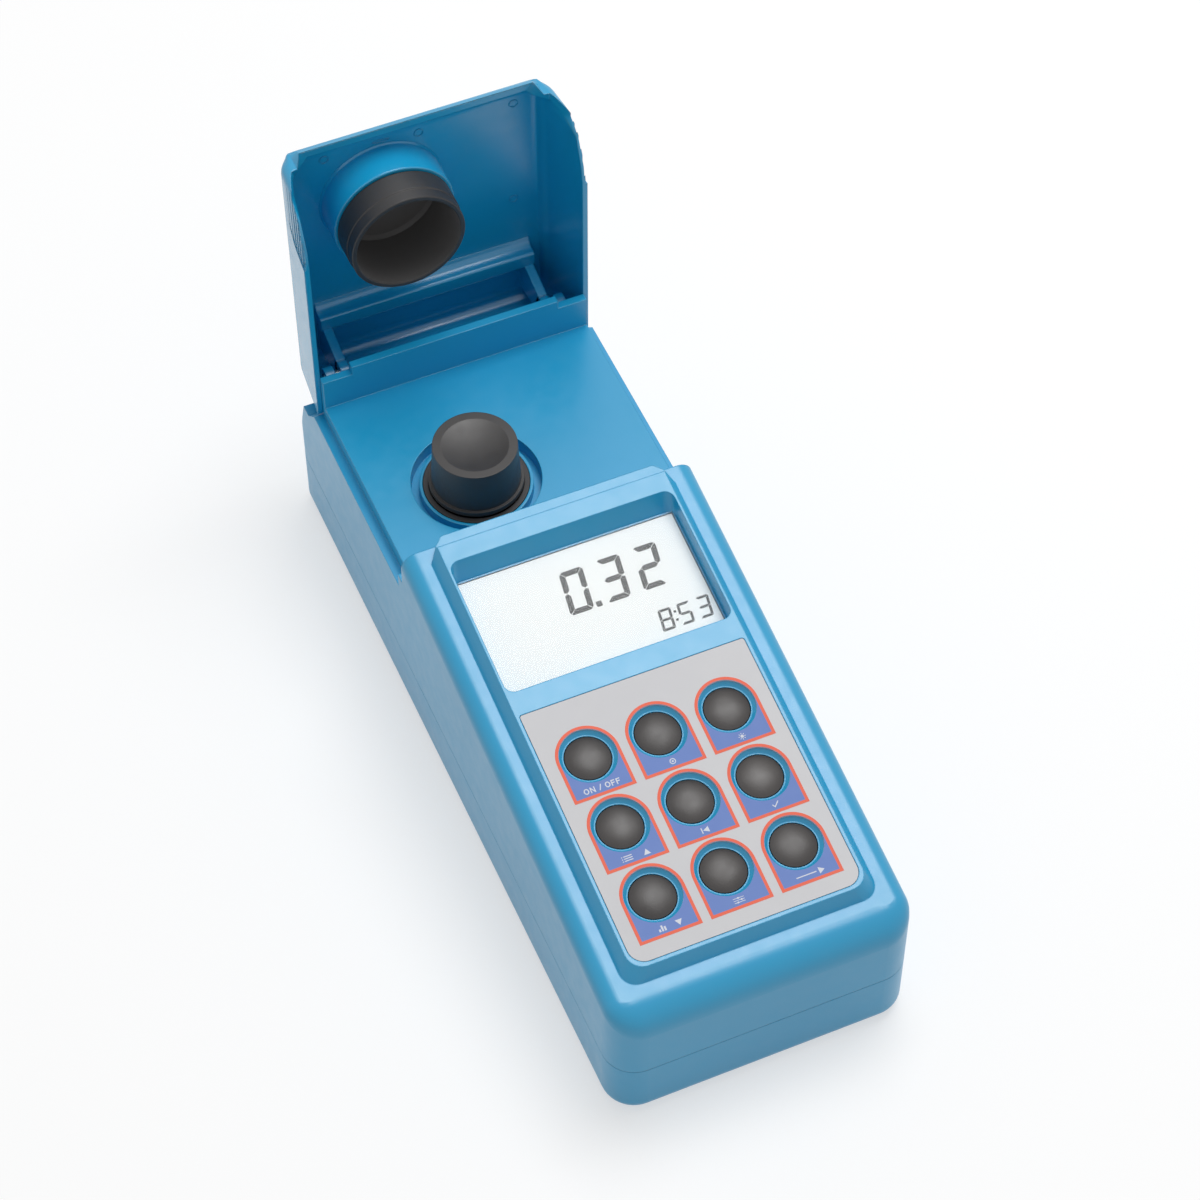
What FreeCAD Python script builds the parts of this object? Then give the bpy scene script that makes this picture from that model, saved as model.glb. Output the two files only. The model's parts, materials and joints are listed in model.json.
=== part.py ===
"""Portable turbidity meter: parametric document, millimetres, +Z up.

X runs to the right of the user, Y to the rear, Z up. The origin is on the surface that
the meter stands on, under the middle of the case. The lid is modelled open, at 90 degrees.
"""
import FreeCAD, Part
import os
import re
from math import cos, pi, radians, sin, tan
from FreeCAD import Placement, Rotation, Vector
import Sketcher

os.makedirs("parts", exist_ok=True)
doc = FreeCAD.newDocument("TurbidityMeter")

# Driving dimensions: alias, value in millimetres or degrees, meaning
SIZES = [
    ("case_length", 230.0, "overall length of the case"),
    ("case_width", 85.0, "overall width of the case"),
    ("case_wall", 2.4, "wall of both housings"),
    ("front_corner", 9.0, "upright corner radius at the front"),
    ("rear_corner", 6.0, "upright corner radius at the rear"),
    ("foot_stand", 0.8, "height of the feet below the lower housing"),
    ("parting", 20.7, "height of the parting line"),
    ("deck", 56.9, "height of the deck round the well"),
    ("ledge", 52.0, "height of the side ledges that the lid closes on"),
    ("ledge_width", 2.8, "width of the side ledges"),
    ("rear_shelf", 46.5, "height of the shelf behind the hinge wall"),
    ("rear_lean", 8.5, "how far the rear face leans forward at the shelf"),
    ("panel_slope", 9.22, "slope of the panel in degrees"),
    ("panel_y", -65.3, "Y of the middle key"),
    ("panel_z", 56.4, "Z of the panel surface at the middle key"),
    ("panel_front", 38.3, "panel surface in front of the middle key, along the slope"),
    ("panel_rear", 95.4, "panel surface behind the middle key, along the slope"),
    ("panel_half", 33.0, "half width of the panel surface"),
    ("bevel_run", 2.5, "width of the bevel round the panel"),
    ("bevel_drop", 4.0, "height of the bevel round the panel"),
    ("rear_chamfer", 2.2, "chamfer of the rear corners of the panel"),
    ("shoulder_side", 4.6, "rounding of the shoulder at the sides"),
    ("shoulder_front", 9.0, "rounding of the shoulder at the front"),
    ("rebate_width", 3.1, "strip at the rear of the panel that the lid meets"),
    ("rebate_depth", 0.35, "depth of that strip"),
    ("window_half", 32.3, "half width of the display recess"),
    ("window_front", 44.9, "front edge of the display recess, along the slope"),
    ("window_rear", 86.6, "rear edge of the display recess, along the slope"),
    ("window_lean", 3.0, "how far the rear wall of the display recess leans forward"),
    ("window_depth", 6.3, "depth of the display recess"),
    ("window_corner", 2.8, "corner radius of the display recess"),
    ("label_half", 31.9, "half width of the key label"),
    ("label_front", 37.1, "front edge of the label, along the slope"),
    ("label_rear", 37.9, "rear edge of the label, along the slope"),
    ("label_thick", 0.5, "thickness of the label"),
    ("label_corner", 4.6, "corner radius of the label at the front"),
    ("key_pitch_x", 19.7, "key pitch across the panel"),
    ("key_pitch_d", 20.95, "key pitch along the slope"),
    ("key_radius", 6.1, "radius of a key"),
    ("key_travel", 0.8, "travel of a key"),
    ("key_sink", 1.5, "rim of a key below the panel surface"),
    ("key_dome", 1.0, "height of the dome of a key"),
    ("key_gap", 0.25, "clearance round a key"),
    ("dish_radius", 7.7, "radius of the funnel round a key, at the surface"),
    ("panel_plate", 2.4, "thickness of the panel under the keys"),
    ("board_thick", 1.6, "thickness of a circuit board"),
    ("mat_thick", 1.6, "thickness of the key mat"),
    ("well_x", -10.6, "X of the cuvette well"),
    ("well_y", 54.35, "Y of the cuvette well"),
    ("well_radius", 13.2, "bore of the well"),
    ("neck_radius", 14.7, "outside of the black neck of the well"),
    ("groove_inner", 15.7, "inner radius of the light trap groove"),
    ("groove_outer", 18.1, "outer radius of the light trap groove"),
    ("groove_depth", 4.2, "depth of the light trap groove"),
    ("cuvette_floor", 7.6, "height of the floor of the well"),
    ("cuvette_radius", 12.5, "outside radius of the cuvette"),
    ("cuvette_wall", 1.5, "glass thickness"),
    ("cuvette_shoulder", 55.4, "height of the shoulder of the seated cuvette"),
    ("cuvette_neck", 9.6, "outside radius of the neck"),
    ("cuvette_top", 66.6, "height of the rim of the seated cuvette"),
    ("sample_level", 50.0, "height of the water in the seated cuvette"),
    ("cap_base", 56.8, "height of the foot of the cap"),
    ("cap_top", 71.5, "height of the top of the cap"),
    ("cap_radius", 11.7, "radius of the cap at the top"),
    ("cap_flare", 0.8, "how much wider the cap is above its flange"),
    ("cap_flange", 13.2, "radius of the flange of the cap"),
    ("hinge_y", 103.5, "Y of the lid axis"),
    ("hinge_z", 58.7, "Z of the lid axis"),
    ("hinge_wall_y", 94.6, "Y of the front face of the hinge wall"),
    ("hinge_wall_top", 70.2, "height of the hinge wall"),
    ("hinge_wall_end", 67.3, "height of the hinge wall at its ends"),
    ("hinge_wall_step", 31.0, "half width of the high part of the hinge wall"),
    ("lug_thick", 2.6, "thickness of the lugs of the lid"),
    ("bracket_thick", 2.8, "thickness of the brackets that hold the pins"),
    ("pin_radius", 1.5, "radius of the hinge pins"),
    ("pin_fit", 0.05, "radial clearance of a pin in the lid"),
    ("lid_top", 77.0, "height of the closed lid"),
    ("lid_wall", 2.2, "wall of the lid"),
    ("lid_side_gap", 0.3, "how far the lid stands in from the case at the sides"),
    ("lid_front", 27.6, "Y of the front edge of the closed lid"),
    ("lid_front_half", 33.7, "half width of the front nose of the lid"),
    ("lid_ear_back", 2.6, "how far the ears stand behind the nose"),
    ("lid_rest", 0.3, "clearance under the rim of the closed lid"),
    ("lid_round", 5.0, "rounding of the top edges of the lid"),
    ("cup_radius", 18.0, "radius of the light shield cup"),
    ("cup_tip", 17.2, "outside radius of the tip of the cup"),
    ("cup_bore", 15.0, "bore of the cup"),
    ("cup_collar", 4.8, "length of the collar on the lid that holds the cup"),
    ("cup_tip_length", 3.4, "length of the tip of the cup"),
    ("bay_front", -84.0, "Y of the front of the battery bay"),
    ("battery_radius", 7.1, "radius of a cell"),
    ("battery_length", 50.0, "length of a cell"),
    ("fit", 0.3, "general clearance between pieces that are not fixed together"),
]

sheet = doc.addObject("Spreadsheet::Sheet", "Sizes")
for row, (alias, value, meaning) in enumerate(SIZES, 1):
    sheet.set(f"A{row}", meaning)
    sheet.set(f"B{row}", str(value))
    sheet.setAlias(f"B{row}", alias)
doc.recompute()
ALIASES = {alias for alias, value, meaning in SIZES}


class Values:
    """The numbers of the sheet, for code that computes a shape or picks an edge."""


for alias in ALIASES:
    setattr(Values, alias, float(sheet.get(alias)))
v = Values


def bound(text):
    """Turn a formula of plain aliases into an expression on the sheet."""
    text = re.sub(r"[a-z_]+", lambda word: f"Sizes.{word[0]}" if word[0] in ALIASES else word[0], str(text))
    return text.replace("(Sizes.panel_slope)", "(Sizes.panel_slope * 1 deg)")


def place(item, x="0", y="0", z="0"):
    """Bind the base of an object's placement."""
    for axis, text in zip("xyz", (x, y, z)):
        item.setExpression(f"Placement.Base.{axis}", bound(text))
    return item


def on_panel(item, x="0", d="0", n="0"):
    """Place an object in the panel's frame: across, along the slope, and off the surface."""
    item.Placement = Placement(Vector(), Rotation(Vector(1, 0, 0), v.panel_slope))
    item.setExpression("Placement.Rotation.Angle", "Sizes.panel_slope")
    y = f"panel_y + ({d}) * cos(panel_slope) - ({n}) * sin(panel_slope)"
    z = f"panel_z + ({d}) * sin(panel_slope) + ({n}) * cos(panel_slope)"
    return place(item, x, y, z)


def panel_point(x, d, n):
    """The same frame as numbers."""
    slope = radians(v.panel_slope)
    y = v.panel_y + d * cos(slope) - n * sin(slope)
    return Vector(x, y, v.panel_z + d * sin(slope) + n * cos(slope))


def primitive(kind, name, **sizes):
    item = doc.addObject(f"Part::{kind}", name)
    for size, text in sizes.items():
        item.setExpression(size, bound(text))
    return item


def box(name, length, width, height, x="0", y="0", z="0"):
    return place(primitive("Box", name, Length=length, Width=width, Height=height), x, y, z)


def centred_box(name, length, width, height, x="0", y="0", z="0"):
    """A box that is centred on X."""
    return box(name, length, width, height, f"({x}) - ({length}) / 2", y, z)


def cylinder(name, radius, height, x="0", y="0", z="0"):
    return place(primitive("Cylinder", name, Radius=radius, Height=height), x, y, z)


def cone(name, low, high, height, x="0", y="0", z="0"):
    return place(primitive("Cone", name, Radius1=low, Radius2=high, Height=height), x, y, z)


def lying(item, x="0", y="0", z="0"):
    """Lay a cylinder or cone along +X."""
    item.Placement = Placement(Vector(), Rotation(Vector(0, 1, 0), 90))
    return place(item, x, y, z)


def rearward(item, x="0", y="0", z="0"):
    """Lay a cylinder or cone along +Y."""
    item.Placement = Placement(Vector(), Rotation(Vector(1, 0, 0), -90))
    return place(item, x, y, z)


def fuse(name, *items):
    item = doc.addObject("Part::MultiFuse", name)
    item.Shapes = list(items)
    item.Refine = True
    return item


def cut(name, base, *tools):
    item = doc.addObject("Part::Cut", name)
    item.Base = base
    item.Tool = tools[0] if len(tools) == 1 else fuse(name + "Tools", *tools)
    item.Refine = True
    return item


def common(name, first, second):
    item = doc.addObject("Part::MultiCommon", name)
    item.Shapes = [first, second]
    return item


def group(name, *items):
    """Separate solids in one node."""
    item = doc.addObject("Part::Compound", name)
    item.Links = list(items)
    return item


def outline(name, corners, turn=None):
    """A closed sketch of straight lines whose corners are bound to the sheet."""
    sketch = doc.addObject("Sketcher::SketchObject", name)
    count = len(corners)
    sides = []
    for index in range(count):
        angle = 2 * pi * index / count
        following = 2 * pi * (index + 1) / count
        start = Vector(50 * cos(angle), 50 * sin(angle), 0)
        end = Vector(50 * cos(following), 50 * sin(following), 0)
        sides.append(sketch.addGeometry(Part.LineSegment(start, end)))
    for index in range(count):
        following = sides[(index + 1) % count]
        sketch.addConstraint(Sketcher.Constraint("Coincident", sides[index], 2, following, 1))
    for index, corner in enumerate(corners):
        for axis, text in zip(("DistanceX", "DistanceY"), corner):
            rule = sketch.addConstraint(Sketcher.Constraint(axis, -1, 1, sides[index], 1, 1.0))
            sketch.setExpression(f"Constraints[{rule}]", bound(text))
    if turn:
        sketch.Placement = Placement(Vector(), turn)
    return sketch


ACROSS = Rotation(Vector(1, 1, 1), 120)


def extrusion(name, sketch, length, symmetric=True):
    item = doc.addObject("Part::Extrusion", name)
    item.Base = sketch
    item.DirMode = "Normal"
    item.Solid = True
    item.Symmetric = symmetric
    item.setExpression("LengthFwd", bound(length))
    return item


def side_profile(name, corners, length):
    """A solid along X with an outline of (Y, Z) corners."""
    return extrusion(name, outline(name + "Outline", corners, ACROSS), length)


def rounded(name, base, *picks):
    """Fillet the edges that a test picks: each pick is (radius or pair of radii, test)."""
    doc.recompute()
    chosen = []
    for number, edge in enumerate(base.Shape.Edges, 1):
        for radius, test in picks:
            if test(edge):
                first, last = radius if isinstance(radius, tuple) else (radius, radius)
                chosen.append((number, first, last))
                break
    item = doc.addObject("Part::Fillet", name)
    item.Base = base
    item.Edges = chosen
    return item


def upright(edge):
    box_ = edge.BoundBox
    return box_.ZLength > 1 and box_.XLength < 0.01 and box_.YLength < 0.01


def upright_at(sign_y):
    return lambda edge: upright(edge) and edge.BoundBox.Center.y * sign_y > 0


def node(item, name):
    item.Label = name
    NODES.append(item)
    return item


NODES = []

# Case: the outline that both housings share
HALF = "case_width / 2"
FRONT = "0 - case_length / 2"
REAR = "case_length / 2"
DECK_HALF = "case_width / 2 - ledge_width"
PANEL_REAR_Y = "panel_y + panel_rear * cos(panel_slope)"
SHOULDER_AT = "panel_z + (({}) - panel_y) * tan(panel_slope) - bevel_drop / cos(panel_slope)"


def case_block(name, low, high, inset="0"):
    """A slice of the case plan, inset from its outer faces."""
    block = box(name + "Block", f"case_width - 2 * ({inset})", f"case_length - 2 * ({inset})",
                f"({high}) - ({low})", f"({inset}) - case_width / 2",
                f"({inset}) - case_length / 2", low)
    doc.recompute()
    step = v.case_wall if inset != "0" else 0
    return rounded(name, block, (v.front_corner - step, upright_at(-1)),
                   (v.rear_corner - step, upright_at(1)))


# Upper housing
plan = case_block("UpperPlan", "parting", "lid_top")
profile = side_profile("UpperProfile", [
    (FRONT, "parting"),
    (FRONT, SHOULDER_AT.format(FRONT)),
    (PANEL_REAR_Y, SHOULDER_AT.format(PANEL_REAR_Y)),
    (PANEL_REAR_Y, "deck"),
    ("hinge_wall_y", "deck"),
    ("hinge_wall_y + case_wall", "ledge"),
    ("hinge_wall_y + case_wall + ledge - rear_shelf", "rear_shelf"),
    ("case_length / 2 - rear_lean", "rear_shelf"),
    (REAR, "parting"),
], "case_width + 2")
shell = common("UpperBlank", plan, profile)
doc.recompute()


def shoulder_top(edge):
    """The edges of the sloping shoulder, without its rear end."""
    middle = edge.CenterOfMass
    top = v.panel_z + (middle.y - v.panel_y) * tan(radians(v.panel_slope))
    top = top - v.bevel_drop / cos(radians(v.panel_slope))
    ahead = middle.y < v.panel_y + v.panel_rear * cos(radians(v.panel_slope)) - 1
    return ahead and abs(middle.z - top) < 1.0 and edge.BoundBox.ZLength < edge.Length * 0.5


def shoulder_side(edge):
    return shoulder_top(edge) and edge.BoundBox.XLength < 0.01


def shoulder_front(edge):
    return shoulder_top(edge) and edge.BoundBox.YLength < 0.01


def shoulder_corner(edge):
    return shoulder_top(edge) and not shoulder_side(edge) and not shoulder_front(edge)


corner_radii = {}
for number, edge in enumerate(shell.Shape.Edges, 1):
    if shoulder_corner(edge):
        first, last = edge.valueAt(edge.FirstParameter), edge.valueAt(edge.LastParameter)
        swap = first.y > last.y
        corner_radii[number] = (v.shoulder_side, v.shoulder_front) if swap else (v.shoulder_front, v.shoulder_side)
shell_round = doc.addObject("Part::Fillet", "UpperRounded")
shell_round.Base = shell
shoulder_edges = []
for number, edge in enumerate(shell.Shape.Edges, 1):
    if shoulder_side(edge):
        shoulder_edges.append((number, v.shoulder_side, v.shoulder_side))
    elif shoulder_front(edge):
        shoulder_edges.append((number, v.shoulder_front, v.shoulder_front))
    elif number in corner_radii:
        shoulder_edges.append((number, *corner_radii[number]))
shell_round.Edges = shoulder_edges

# Raised panel: a bevelled loft along the slope, trimmed upright at the rear
def panel_section(name, half, front, n):
    section = outline(name, [
        (f"0 - ({half})", f"0 - ({front})"),
        (half, f"0 - ({front})"),
        (half, "panel_rear + 6"),
        (f"0 - ({half})", "panel_rear + 6"),
    ])
    return on_panel(section, n=n)


panel_sharp = doc.addObject("Part::Loft", "PanelSharp")
panel_sharp.Sections = [
    panel_section("PanelFoot", "panel_half + bevel_run", "panel_front + bevel_run", "0 - bevel_drop"),
    panel_section("PanelFace", "panel_half", "panel_front", "0"),
]
panel_sharp.Solid = True
panel_sharp.Ruled = True


def panel_front_corner(edge):
    middle = edge.CenterOfMass
    return edge.BoundBox.ZLength > 2 and middle.y < v.panel_y and abs(middle.x) > v.panel_half


panel_rounded = rounded("PanelRounded", panel_sharp, (v.label_corner + 1.2, panel_front_corner))
REAR_CHAMFER = "rear_chamfer"
panel_plan = extrusion("PanelPlan", outline("PanelPlanOutline", [
    (FRONT, FRONT),
    (REAR, FRONT),
    (f"panel_half + {REAR_CHAMFER} * 2", PANEL_REAR_Y + f" - {REAR_CHAMFER} * 3"),
    (f"panel_half - {REAR_CHAMFER}", PANEL_REAR_Y),
    (f"{REAR_CHAMFER} - panel_half", PANEL_REAR_Y),
    (f"0 - panel_half - {REAR_CHAMFER} * 2", PANEL_REAR_Y + f" - {REAR_CHAMFER} * 3"),
]), "2 * lid_top")
panel = common("Panel", panel_rounded, panel_plan)

# Hinge wall and the brackets that hold the pins
hinge_wall_low = centred_box("HingeWallLow", "2 * (case_width / 2 - ledge_width)", "case_wall",
                             "hinge_wall_end - rear_shelf + 2", "0", "hinge_wall_y",
                             "rear_shelf - 2")
hinge_wall_high = centred_box("HingeWallHigh", "2 * hinge_wall_step", "case_wall",
                              "hinge_wall_top - rear_shelf + 2", "0", "hinge_wall_y",
                              "rear_shelf - 2")
LUG_THICK = "lug_thick"
LUG_X = "hinge_wall_step - 1.6"
BRACKET_X = "hinge_wall_step + 2.6"
PIN_LENGTH = "6.8"
PIN_MIDDLE = f"{LUG_X} + 0.3 + ({PIN_LENGTH}) / 2"
brackets = []
for side, sign in (("Left", "-1"), ("Right", "1")):
    start = f"{sign} * ({BRACKET_X} + bracket_thick / 2) - bracket_thick / 2"
    plate = box(f"Bracket{side}Plate", "bracket_thick", "hinge_y + 0.7 - hinge_wall_y",
                "hinge_z - rear_shelf + 1", start, "hinge_wall_y", "rear_shelf - 1")
    eye = lying(cylinder(f"Bracket{side}Eye", "3", "bracket_thick"), start, "hinge_y", "hinge_z")
    brackets += [plate, eye]

# Upper housing: everything added, then everything cut away
solid = fuse("UpperSolid", shell_round, panel, hinge_wall_low, hinge_wall_high, *brackets)
tools = []
for side, sign in (("Left", "-1"), ("Right", "1")):
    ledge_cut = box(f"Ledge{side}", "ledge_width + 2", "hinge_wall_y + case_wall + 40 - 32",
                    "30", f"{sign} * (case_width / 2 - ledge_width / 2 + 1) - ledge_width / 2 - 1",
                    "32", "ledge")
    tools.append(ledge_cut)

cavity_plan = case_block("CavityPlan", "parting - 1", "lid_top", "case_wall")
INNER_TOP = SHOULDER_AT + " - case_wall / cos(panel_slope)"
cavity_profile = side_profile("CavityProfile", [
    ("case_wall - case_length / 2", "parting - 1"),
    ("case_wall - case_length / 2", INNER_TOP.format("case_wall - case_length / 2") + " - 7"),
    ("14 - case_length / 2", INNER_TOP.format("14 - case_length / 2")),
    (PANEL_REAR_Y + " - case_wall", INNER_TOP.format(PANEL_REAR_Y + " - case_wall")),
    (PANEL_REAR_Y + " - case_wall", "deck - case_wall"),
    ("hinge_wall_y - 0.4", "deck - case_wall"),
    ("hinge_wall_y", "ledge - case_wall"),
    ("hinge_wall_y + case_wall + ledge - rear_shelf - 2", "rear_shelf - case_wall"),
    ("case_length / 2 - rear_lean - case_wall", "rear_shelf - case_wall"),
    ("case_length / 2 - case_wall", "parting - 1"),
], "case_width - 2 * case_wall - 7")
cavity_low = side_profile("CavityLow", [
    ("case_wall - case_length / 2", "parting - 1"),
    ("case_wall - case_length / 2", "ledge - 18"),
    ("14 - case_length / 2", "ledge - case_wall - 12"),
    ("0", "ledge - case_wall - 1"),
    ("hinge_wall_y", "ledge - case_wall - 1"),
    ("hinge_wall_y + case_wall + ledge - rear_shelf - 2", "rear_shelf - case_wall"),
    ("case_length / 2 - rear_lean - case_wall", "rear_shelf - case_wall"),
    ("case_length / 2 - case_wall", "parting - 1"),
], "case_width - 2 * case_wall")
cavity_all = fuse("CavityAll", cavity_profile, cavity_low)
cavity_case = common("CavityCase", cavity_plan, cavity_all)
cavity_panel = on_panel(
    primitive("Box", "CavityPanel", Length="2 * (panel_half - 1.0)", Width="label_rear + panel_front - 1",
              Height="bevel_drop + 5"),
    "1.0 - panel_half", "0.5 - panel_front", "0 - panel_plate - bevel_drop - 5")
trap_boss = cylinder("TrapBoss", "groove_outer + case_wall", "case_wall + groove_depth", "well_x",
                     "well_y", "deck - case_wall - groove_depth")
BOSS_PLACES = [(-1, "4.6 - panel_front"), (1, "4.6 - panel_front"), (-1, "41.2"), (1, "41.2")]
board_bosses, board_screws = [], []
for index, (sign, along) in enumerate(BOSS_PLACES, 1):
    across = f"{sign} * (panel_half - 5.4)"
    board_bosses.append(on_panel(
        primitive("Cylinder", f"BoardBoss{index}", Radius="2.2", Height="window_depth + 6"),
        across, along, "0 - window_depth - 6"))
    pilot = on_panel(primitive("Cylinder", f"BoardPilot{index}", Radius="0.9", Height="7"),
                     across, along, "0 - window_depth - 6")
    shank = on_panel(primitive("Cylinder", f"BoardShank{index}", Radius="0.9", Height="7"),
                     across, along, "0 - window_depth - 6 - board_thick")
    head = on_panel(primitive("Cylinder", f"BoardHead{index}", Radius="1.9", Height="1.4"),
                    across, along, "0 - window_depth - 7.4 - board_thick")
    board_screws.append((pilot, fuse(f"BoardScrew{index}", shank, head)))
cavity_whole = fuse("CavityWhole", cavity_case, cavity_panel)
tools.append(cut("CavityClear", cavity_whole, trap_boss, *board_bosses))
tools += [pilot for pilot, screw in board_screws]

# Display recess: its rear wall leans forward, its corners are round
recess_low = outline("RecessLow", [
    ("0 - window_half", "window_front"), ("window_half", "window_front"),
    ("window_half", "window_rear - window_lean"), ("0 - window_half", "window_rear - window_lean"),
])
on_panel(recess_low, n="0 - window_depth")
recess_high = outline("RecessHigh", [
    ("0 - window_half", "window_front"), ("window_half", "window_front"),
    ("window_half", "window_rear + window_lean / window_depth"),
    ("0 - window_half", "window_rear + window_lean / window_depth"),
])
on_panel(recess_high, n="1")
recess_sharp = doc.addObject("Part::Loft", "RecessSharp")
recess_sharp.Sections = [recess_low, recess_high]
recess_sharp.Solid = True
recess_sharp.Ruled = True
recess = rounded("Recess", recess_sharp, (v.window_corner, lambda edge: edge.BoundBox.ZLength > 4
                                          and edge.BoundBox.XLength < 0.5 and edge.Length < 12))
module_pocket = on_panel(
    primitive("Box", "ModulePocket", Length="2 * window_half - 1.2",
              Width="window_rear - window_lean - window_front - 1.2", Height="12"),
    "0.6 - window_half", "window_front + 0.6", "0 - window_depth - 11")
tools += [recess, module_pocket]

# Rebate for the lid's edge, label recess, key funnels
rebate = on_panel(primitive("Box", "Rebate", Length="2 * panel_half + 8", Width="rebate_width + 2",
                            Height="2"),
                  "0 - panel_half - 4", "panel_rear - rebate_width", "0 - rebate_depth")
label_recess = on_panel(primitive("Box", "LabelRecess", Length="2 * label_half + 0.3",
                                  Width="label_front + label_rear + 0.3", Height="2"),
                        "0 - label_half - 0.15", "0 - label_front - 0.15", "0 - label_thick")
doc.recompute()


def flat_corner(edge):
    """Short edges that stand off the panel."""
    return abs(edge.Length - 2.0) < 0.01


label_recess_round = rounded(
    "LabelRecessRound", label_recess,
    (v.label_corner, lambda edge: flat_corner(edge) and edge.CenterOfMass.y < v.panel_y),
    (0.8, flat_corner))
tools += [rebate, label_recess_round]
KEYS = [(column, line) for line in (1, 0, -1) for column in (-1, 0, 1)]
for index, (column, line) in enumerate(KEYS, 1):
    across, along = f"{column} * key_pitch_x", f"{line} * key_pitch_d"
    tools.append(on_panel(primitive("Cone", f"KeyDish{index}", Radius1="key_radius + key_gap + 0.35",
                                    Radius2="dish_radius", Height="key_sink - 0.5"),
                          across, along, "0.5 - label_thick - key_sink"))
    tools.append(on_panel(primitive("Cylinder", f"KeyHole{index}", Radius="key_radius + key_gap",
                                    Height="panel_plate + 1"),
                          across, along, "0 - panel_plate - 0.5"))

# Well and light trap groove
tools.append(cylinder("WellHole", "neck_radius + 0.15", "30", "well_x", "well_y", "deck - 20"))
groove_out = cylinder("GrooveOut", "groove_outer", "groove_depth + 1", "well_x", "well_y",
                      "deck - groove_depth")
groove_in = cylinder("GrooveIn", "groove_inner", "groove_depth + 1", "well_x", "well_y",
                     "deck - groove_depth")
tools.append(cut("Groove", groove_out, groove_in))
tools.append(cylinder("RingTop", "groove_inner + 0.5", "5", "well_x", "well_y", "deck - 1"))

# Pin holes in the brackets, connector openings in the rear face
for side, sign in (("Left", "-1"), ("Right", "1")):
    tools.append(lying(cylinder(f"PinSeat{side}", "pin_radius", PIN_LENGTH),
                       f"{sign} * ({PIN_MIDDLE}) - ({PIN_LENGTH}) / 2", "hinge_y", "hinge_z"))
JACK_X, JACK_Z = "18", "28"
USB_X, USB_Z = "-16", "28"
tools.append(rearward(cylinder("JackHole", "4.3", "20"), JACK_X, "case_length / 2 - 14", JACK_Z))
tools.append(box("UsbHole", "12.6", "20", "5.6", f"{USB_X} - 6.3", "case_length / 2 - 14",
                 f"{USB_Z} - 2.8"))
upper = node(cut("UpperHousing", solid, *tools), "upper_housing")

# Lower housing: tray with rounded bottom edge, screw posts, battery bay and foot pockets
lower_block = case_block("LowerBlock", "foot_stand", "parting - 0.15")


def bottom_edge(edge):
    return edge.BoundBox.ZMax < v.foot_stand + 0.01


lower_round = rounded("LowerRounded", lower_block, (4.0, bottom_edge))
lower_cavity = case_block("LowerCavity", "foot_stand + case_wall", "parting + 1", "case_wall")
posts = []
POST_PLACES = [(sign_x, sign_y) for sign_x in (-1, 1) for sign_y in (-1, 1)]
for index, (sign_x, sign_y) in enumerate(POST_PLACES, 1):
    posts.append(cylinder(f"Post{index}", "3.6", "parting - foot_stand - 1",
                          f"{sign_x} * (case_width / 2 - 9)", f"{sign_y} * (case_length / 2 - 9)",
                          "foot_stand + 0.5"))
BAY_FRONT = "bay_front"
BAY_WIDTH = "4 * 2 * battery_radius + 3"
BAY_LENGTH = "battery_length + 6"
FLOOR = "foot_stand + case_wall"
BAY_HEIGHT = "2 * battery_radius + 0.8"
bay_wall = centred_box("BayWall", BAY_WIDTH + " + 3", BAY_LENGTH + " + 3",
                       BAY_HEIGHT + " + case_wall / 2 + 1.5", "0", BAY_FRONT + " - 1.5",
                       FLOOR + " - case_wall / 2")
bay = centred_box("Bay", BAY_WIDTH, BAY_LENGTH, BAY_HEIGHT + " + 5", "0", BAY_FRONT, FLOOR + " - 5")
DOOR_STEP = "9"
door_rebate = centred_box("DoorRebate", BAY_WIDTH, BAY_LENGTH + " + 2 * " + DOOR_STEP,
                          "case_wall / 2 + 1", "0", BAY_FRONT + " - " + DOOR_STEP, "foot_stand - 1")
DOOR_SCREW_Y = BAY_FRONT + " + " + BAY_LENGTH + " + " + DOOR_STEP + " / 2"
door_boss = cylinder("DoorBoss", "3.4", "9", "0", DOOR_SCREW_Y, FLOOR + " - case_wall / 2")
door_pilot = cylinder("DoorPilot", "1.3", "12", "0", DOOR_SCREW_Y, "foot_stand - 2")
lower_base = fuse("LowerBase", cut("LowerTray", lower_round, lower_cavity), *posts,
                  bay_wall, door_boss)
main_bosses = []
MAIN_PLACES = [(-1, "6"), (1, "6"), (-1, "20"), (1, "20")]
for index, (sign, along) in enumerate(MAIN_PLACES, 1):
    main_bosses.append(cylinder(f"MainBoss{index}", "2.4", "24 - foot_stand - case_wall / 2",
                                f"{sign} * 28", along, "foot_stand + case_wall / 2"))
lower_base = fuse("LowerBossed", lower_base, *main_bosses)
lower_cuts = [bay, door_rebate, door_pilot]
for index, (sign, along) in enumerate(MAIN_PLACES, 1):
    lower_cuts.append(cylinder(f"MainPilot{index}", "0.9", "8", f"{sign} * 28", along, "18"))
for index, (sign_x, sign_y) in enumerate(POST_PLACES, 1):
    across = f"{sign_x} * (case_width / 2 - 9)"
    along = f"{sign_y} * (case_length / 2 - 9)"
    lower_cuts.append(cylinder(f"ScrewShank{index}", "1.6", "40", across, along, "foot_stand - 1"))
    lower_cuts.append(cylinder(f"ScrewHead{index}", "3.0", "5", across, along, "foot_stand - 1"))
FOOT_PLACES = [(sign_x, sign_y) for sign_x in (-1, 1) for sign_y in (-1, 1)]
for index, (sign_x, sign_y) in enumerate(FOOT_PLACES, 1):
    lower_cuts.append(cylinder(f"FootPocket{index}", "5.2", "1.2", f"{sign_x} * (case_width / 2 - 19)",
                               f"{sign_y} * (case_length / 2 - 14)", "foot_stand - 0.2"))
lower = node(cut("LowerHousing", lower_base, *lower_cuts), "lower_housing")

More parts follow.
